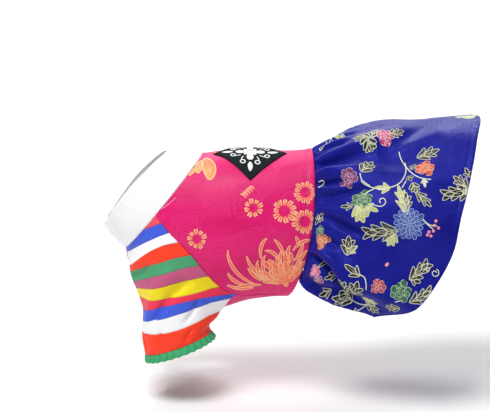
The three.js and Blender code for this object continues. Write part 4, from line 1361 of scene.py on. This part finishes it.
class DressColours(bpy.types.PropertyGroup):
    white: colour_setting("White Cloth", "The band collar", shade(244, 244, 246))
    rose: colour_setting("Rose", "The jacket's ground", shade(234, 33, 124))
    rose_deep: colour_setting("Rose Shade", "Deeper threads in the jacket's ground", shade(196, 14, 86))
    rose_light: colour_setting("Rose Figure", "The jacket's tone on tone clouds", shade(250, 92, 165))
    blue: colour_setting("Blue", "The skirt's ground", shade(34, 38, 150))
    blue_deep: colour_setting("Blue Shade", "Deeper threads in the skirt's ground", shade(16, 17, 108))
    blue_light: colour_setting("Blue Figure", "The skirt's tone on tone clouds", shade(54, 57, 178))
    black: colour_setting("Black Felt", "The patch over the back", shade(18, 24, 26))
    ruffle: colour_setting("Green Ruffle", "The ruffled cuff bands", shade(70, 180, 120))
    lining: colour_setting("Lining", "The inside of the jacket and the sleeves", shade(236, 196, 208))
    skirt_lining: colour_setting("Skirt Lining", "The inside of the skirt", shade(60, 60, 150))
    coral: colour_setting("Coral Stripe", "First strip of the sleeves", shade(240, 80, 100))
    sky: colour_setting("Blue Stripe", "Second strip of the sleeves", shade(62, 92, 215))
    ivory: colour_setting("White Stripe", "White strips of the sleeves", shade(245, 245, 247))
    orange: colour_setting("Orange Stripe", "Orange red strips of the sleeves", shade(252, 62, 32))
    green: colour_setting("Green Stripe", "Green strip of the sleeves", shade(72, 158, 110))
    mauve: colour_setting("Mauve Stripe", "Mauve strip of the sleeves", shade(195, 86, 128))
    yellow: colour_setting("Yellow Stripe", "Yellow strip of the sleeves", shade(243, 222, 24))
    red: colour_setting("Red Stripe", "Red strip of the sleeves", shade(235, 52, 84))


class DressStudio(bpy.types.PropertyGroup):
    floor: length_setting("Floor", "Height of the floor, where the dog's feet stand", -0.225, -2.0, 0.0)
    paper: colour_setting("Paper", "The floor and the wall behind", shade(250, 250, 250))
    sky_light: bpy.props.FloatProperty(
        name="Sky", description="Strength of the even light", default=0.2, min=0.0, max=4.0)
    key_light: power_setting("Key", "Power of the large light above", 25.0, 500.0)
    fill_light: power_setting("Fill", "Power of the light beside the camera", 1.4, 500.0)
    paper_light: power_setting("Paper Light", "Power of the light over the wall behind", 60.0, 900.0)
    distance: length_setting("Camera Distance", "From the camera to the dress", VIEW_DISTANCE * 0.001, 0.3, 5.0)
    rise: bpy.props.FloatProperty(
        name="Camera Rise", description="How far the camera looks down", default=VIEW_RISE, min=0.0, max=1.2,
        subtype="ANGLE")


def finish_of(name, make):
    """A finish is made once and shared by its pieces."""
    name += "_finish"
    return bpy.data.materials.get(name) or make(name)


def dress(thing, *finishes):
    for finish in finishes:
        thing.data.materials.append(finish)


def place_piece(thing, slot, *nodes):
    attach(thing, "root")
    if nodes:
        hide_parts(*nodes)
    return thing


def lining_finish(colours):
    tint = tuple(colours.lining)
    return finish_of("lining", lambda name: plain_cloth(name, tint, 0.6, 0.7))


class PieceOperator:
    """Shared by the operators: each reads its sizes and colours from the scene."""

    bl_options = {"REGISTER", "UNDO"}

    @classmethod
    def poll(cls, context):
        return context.scene is not None


class HANBOK_OT_collar(PieceOperator, bpy.types.Operator):
    """Sew the white band collar with its soft folds at the throat"""

    bl_idname = "hanbok.collar"
    bl_label = "Collar"

    def execute(self, context):
        sizes, colours = context.scene.hanbok_sizes, context.scene.hanbok_colours
        band = sew("collar_band", "collar", sizes.thickness)
        white = finish_of("white_cotton", lambda name: plain_cloth(name, tuple(colours.white), 0.7, 0.85, 0.04))
        dress(band, white, white)
        place_piece(band, "white_cloth", "collar")
        return {"FINISHED"}


class HANBOK_OT_jacket(PieceOperator, bpy.types.Operator):
    """Sew the rose brocade jacket and its chest panel"""

    bl_idname = "hanbok.jacket"
    bl_label = "Jacket"

    def execute(self, context):
        sizes, colours = context.scene.hanbok_sizes, context.scene.hanbok_colours
        tones = [tuple(c) for c in (colours.rose, colours.rose_deep, colours.rose_light)]
        rose = finish_of("rose_brocade", lambda name: brocade(name, *tones))
        body = sew("jacket_body", "jacket", sizes.thickness)
        dress(body, rose, lining_finish(colours))
        place_piece(body, "rose_brocade", "jacket")
        chest = sew("jacket_chest", "chest_panel", sizes.thickness)
        dress(chest, rose, lining_finish(colours))
        place_piece(chest, "rose_brocade", "chest_panel")
        return {"FINISHED"}


# Seams between the sleeve's strips, each by its height at the front, in the middle and at the back.
STRIPE_SEAMS = (
    ((130, 240), (147, 232), (164, 224)),
    ((127, 259), (151, 243), (176, 233)),
    ((133, 268), (156, 251), (186, 245)),
    ((135, 276), (171, 261), (198, 256)),
    ((137, 287), (171, 273), (206, 267)),
    ((143, 294), (171, 286), (217, 278)),
    ((144, 304), (171, 299.5), (227, 289)),
    ((141, 316), (171, 306), (222, 300)),
    ((143, 326), (171, 317), (212, 306)),
    ((143, 337), (176, 330), (208, 319)),
    ((144, 350), (171, 344), (208, 333)),
)


def stripe_count(places):
    """Which strip of the sleeve each place lies in, counted down from the shoulder."""
    level = places * (1, 0, 1) + (0, -62.0, 0)
    shown = side_view(level)
    x, y = shown[..., 0], shown[..., 1]
    heights = []
    for row in STRIPE_SEAMS:
        (x0, y0), (x1, y1), (x2, y2) = row
        first, second = (y1 - y0) / (x1 - x0), (y2 - y1) / (x2 - x1)
        inside = np.clip(x, x0, x2)
        bend = (second - first) / (x2 - x0)
        curve = y0 + first * (inside - x0) + bend * (inside - x0) * (inside - x1)
        start, end = first - bend * (x1 - x0), second + bend * (x2 - x1)
        heights.append(curve + start * np.minimum(x - x0, 0) + 0.4 * end * np.maximum(x - x2, 0))
    heights = np.stack(heights, -1)
    heights = np.maximum.accumulate(heights + np.arange(len(STRIPE_SEAMS)) * 0.01, axis=-1)
    flat_y, flat_h = y.ravel(), heights.reshape(-1, len(STRIPE_SEAMS))
    below = np.sum(flat_y[:, None] > flat_h, axis=1)
    low = np.clip(below - 1, 0, len(STRIPE_SEAMS) - 2)
    rows = np.arange(len(flat_y))
    top, base = flat_h[rows, low], flat_h[rows, low + 1]
    part = (flat_y - top) / np.maximum(base - top, 0.5)
    part = np.where(below == 0, np.maximum(part, -0.98), part)
    part = np.where(below == len(STRIPE_SEAMS), np.minimum(part, 1.98), part)
    return np.minimum(low + part, len(STRIPE_SEAMS) - 1.12).reshape(y.shape)


class HANBOK_OT_sleeves(PieceOperator, bpy.types.Operator):
    """Sew the two striped raglan sleeves"""

    bl_idname = "hanbok.sleeves"
    bl_label = "Sleeves"

    def execute(self, context):
        sizes, colours = context.scene.hanbok_sizes, context.scene.hanbok_colours
        strips = [colours.coral, colours.sky, colours.ivory, colours.orange, colours.green, colours.mauve,
                  colours.yellow, colours.red, colours.sky, colours.ivory, colours.orange, colours.orange]
        satin = finish_of("striped_satin", lambda name: striped_satin(name, [tuple(c) for c in strips]))
        for side in ("left", "right"):
            marks = {"Stripe": stripe_count}
            sleeve = sew(f"sleeve_{side}_cloth", f"sleeve_{side}", sizes.thickness, marks)
            dress(sleeve, satin, lining_finish(colours))
            place_piece(sleeve, "striped_cloth", f"sleeve_{side}")
        return {"FINISHED"}


class HANBOK_OT_cuffs(PieceOperator, bpy.types.Operator):
    """Gather the green ruffles round the ends of the sleeves"""

    bl_idname = "hanbok.cuffs"
    bl_label = "Cuffs"

    def execute(self, context):
        sizes, colours = context.scene.hanbok_sizes, context.scene.hanbok_colours
        green = finish_of("green_cotton", lambda name: plain_cloth(name, tuple(colours.ruffle), 0.5, 0.75, 0.2))
        for side in ("left", "right"):
            band = sew(f"cuff_{side}_ruffle", f"cuff_{side}", sizes.ruffle_thickness)
            dress(band, green, green)
            place_piece(band, "green_cloth", f"cuff_{side}")
        return {"FINISHED"}


class HANBOK_OT_skirt(PieceOperator, bpy.types.Operator):
    """Gather the blue brocade skirt onto the waist"""

    bl_idname = "hanbok.skirt"
    bl_label = "Skirt"

    def execute(self, context):
        sizes, colours = context.scene.hanbok_sizes, context.scene.hanbok_colours
        tones = [tuple(c) for c in (colours.blue, colours.blue_deep, colours.blue_light)]
        blue = finish_of("blue_brocade", lambda name: brocade(
            name, *tones, swirl=17.0, rough=0.36, sheen=0.0, gloss=0.3, figure=0.05, glint=(0.13, 0.15, 1.0)))
        back = tuple(colours.skirt_lining)
        inside = finish_of("skirt_lining", lambda name: plain_cloth(name, back, 0.6, 0.65, 0.2))
        skirt = sew("skirt_cloth", "skirt", sizes.thickness)
        dress(skirt, blue, inside)
        place_piece(skirt, "blue_brocade", "skirt")
        return {"FINISHED"}


class HANBOK_OT_patch(PieceOperator, bpy.types.Operator):
    """Lay the black felt square cornerwise over the back"""

    bl_idname = "hanbok.patch"
    bl_label = "Patch"

    def execute(self, context):
        colours = context.scene.hanbok_colours
        black = finish_of("black_felt", lambda name: felt(name, tuple(colours.black)))
        square = sew("patch_felt", "patch", FELT_THICKNESS)
        dress(square, black, black)
        place_piece(square, "black_felt", "patch")
        return {"FINISHED"}


def add_floss(thing, slot):
    dress(thing, finish_of("floss", thread_finish))
    return place_piece(thing, slot)


class HANBOK_OT_jacket_figures(PieceOperator, bpy.types.Operator):
    """Weave the blossoms and the great flower into the jacket and run the topstitch along its waist"""

    bl_idname = "hanbok.jacket_figures"
    bl_label = "Jacket Flowers"

    def execute(self, context):
        woven = add_floss(jacket_figures(), "rose_brocade")
        sewn = add_floss(waist_stitches(context.scene.hanbok_sizes), "rose_brocade")
        beads = add_floss(chest_figures(), "rose_brocade")
        return {"FINISHED"}


class HANBOK_OT_skirt_figures(PieceOperator, bpy.types.Operator):
    """Weave the flowers, leaves and stems into the skirt"""

    bl_idname = "hanbok.skirt_figures"
    bl_label = "Skirt Flowers"

    def execute(self, context):
        woven = [add_floss(make(), "blue_brocade") for make in (skirt_figures, spine_figures)]
        return {"FINISHED"}


class HANBOK_OT_patch_figures(PieceOperator, bpy.types.Operator):
    """Embroider the patch in white"""

    bl_idname = "hanbok.patch_figures"
    bl_label = "Patch Embroidery"

    def execute(self, context):
        sewn = add_floss(patch_figures(), "white_cloth")
        return {"FINISHED"}


# The paper sweep, in millimetres: how far its floor reaches to the front and to the back, the bend up into
# the wall, the wall's height and half of its width.
FLOOR_NEAR, FLOOR_FAR, BEND_RADIUS, WALL_HEIGHT, FLOOR_HALF = -2500, 1400, 700, 3200, 3500
# Where the light over the wall looks, in metres, and the width of the camera's sensor in millimetres.
WALL_SPOT, SENSOR_WIDTH = (0, 1.9, -0.2), 36.0


class HANBOK_OT_stage(PieceOperator, bpy.types.Operator):
    """Set up the pale floor, the soft studio lights and the camera"""

    bl_idname = "hanbok.stage"
    bl_label = "Stage"

    def execute(self, context):
        scene, studio = context.scene, context.scene.hanbok_studio
        paper = finish_of("paper", lambda name: studio_finish(name, tuple(studio.paper)))
        floor = studio.floor * 1000
        profile = [(FLOOR_NEAR, floor), (FLOOR_FAR, floor)]
        for t in np.linspace(0, math.pi / 2, 13)[1:]:
            profile.append((FLOOR_FAR + BEND_RADIUS * math.sin(t),
                            floor + BEND_RADIUS - BEND_RADIUS * math.cos(t)))
        profile.append((FLOOR_FAR + BEND_RADIUS, floor + WALL_HEIGHT))
        across = np.linspace(-FLOOR_HALF, FLOOR_HALF, 15)
        points = [(x, y, z) for y, z in profile for x in across]
        wide = len(across)
        faces = [(i * wide + j, i * wide + j + 1, (i + 1) * wide + j + 1, (i + 1) * wide + j)
                 for i in range(len(profile) - 1) for j in range(wide - 1)]
        sweep = put_mesh("studio_sweep", points, faces)
        sweep.data.materials.append(paper)
        world = bpy.data.worlds.new("studio_air")
        world.use_nodes = True
        background = world.node_tree.nodes["Background"]
        background.inputs["Color"].default_value = (1, 1, 1, 1)
        # the even light is soft, while the air itself shows as white paper
        path = world.node_tree.nodes.new("ShaderNodeLightPath")
        strength = world.node_tree.nodes.new("ShaderNodeMath")
        strength.operation = "MULTIPLY_ADD"
        strength.inputs[1].default_value = 1.0 - studio.sky_light
        strength.inputs[2].default_value = studio.sky_light
        world.node_tree.links.new(path.outputs["Is Camera Ray"], strength.inputs[0])
        world.node_tree.links.new(strength.outputs[0], background.inputs["Strength"])
        scene.world = world
        lights = (
            ("key_light", (-0.4, -0.7, 1.35), 0.9, studio.key_light),
            ("fill_light", (-0.55, -1.6, 0.25), 1.4, studio.fill_light),
            ("back_light", (0.9, 1.1, 1.0), 1.2, studio.fill_light * 0.8),
            ("paper_light", (0.0, 1.9, 2.0), 2.2, studio.paper_light),
        )
        middle = VIEW_TARGET * 0.001
        for name, where, size, power in lights:
            lamp = bpy.data.lights.new(name, "AREA")
            lamp.shape, lamp.size, lamp.energy = "DISK", size, power
            thing = bpy.data.objects.new(name, lamp)
            thing.location = where
            to = np.array(WALL_SPOT) if name == "paper_light" else middle
            thing.rotation_euler = pointing(np.array(where), to)
            scene.collection.objects.link(thing)
        camera = bpy.data.cameras.new("side_camera")
        camera.sensor_fit, camera.sensor_width = "HORIZONTAL", SENSOR_WIDTH
        camera.lens = SENSOR_WIDTH * studio.distance * 1000 / VIEW_STEP / VIEW_WIDTH
        camera.clip_start, camera.clip_end = 0.05, 20.0
        thing = bpy.data.objects.new("side_camera", camera)
        ahead = np.array([0, math.cos(studio.rise), -math.sin(studio.rise)])
        where = middle - ahead * studio.distance
        thing.location = where
        thing.rotation_euler = pointing(where, middle)
        scene.collection.objects.link(thing)
        scene.camera = thing
        scene.view_settings.view_transform = "Standard"
        scene.view_settings.look = "None"
        return {"FINISHED"}


def pointing(where, to):
    """The turn of a lamp or a camera that looks from one place to another, in metres."""
    x, y, z = to - where
    return math.acos(-z / math.sqrt(x * x + y * y + z * z)), 0.0, math.atan2(-x, y)


class HANBOK_PT_panel(bpy.types.Panel):
    """Builds the dress piece by piece"""

    bl_idname = "HANBOK_PT_panel"
    bl_label = "Dog Hanbok Dress"
    bl_space_type = "VIEW_3D"
    bl_region_type = "UI"
    bl_category = "Hanbok"

    def draw(self, context):
        layout, scene = self.layout, context.scene
        for group in (scene.hanbok_sizes, scene.hanbok_colours, scene.hanbok_studio):
            box = layout.box()
            for key in group.__annotations__:
                box.prop(group, key)
        for operator in OPERATORS:
            layout.operator(operator.bl_idname)


OPERATORS = (
    HANBOK_OT_stage, HANBOK_OT_collar, HANBOK_OT_jacket, HANBOK_OT_sleeves, HANBOK_OT_cuffs, HANBOK_OT_skirt,
    HANBOK_OT_patch, HANBOK_OT_jacket_figures, HANBOK_OT_skirt_figures, HANBOK_OT_patch_figures,
)
GROUPS = {"hanbok_sizes": DressSizes, "hanbok_colours": DressColours, "hanbok_studio": DressStudio}


def register():
    for cls in (*GROUPS.values(), *OPERATORS, HANBOK_PT_panel):
        bpy.utils.register_class(cls)
    for name, group in GROUPS.items():
        setattr(bpy.types.Scene, name, bpy.props.PointerProperty(type=group))


def unregister():
    for name in GROUPS:
        delattr(bpy.types.Scene, name)
    for cls in reversed((*GROUPS.values(), *OPERATORS, HANBOK_PT_panel)):
        bpy.utils.unregister_class(cls)


def main():
    register()
    for operator in OPERATORS:
        group, name = operator.bl_idname.split(".")
        getattr(getattr(bpy.ops, group), name)()
    bpy.context.view_layer.update()


if __name__ == "__main__":
    main()
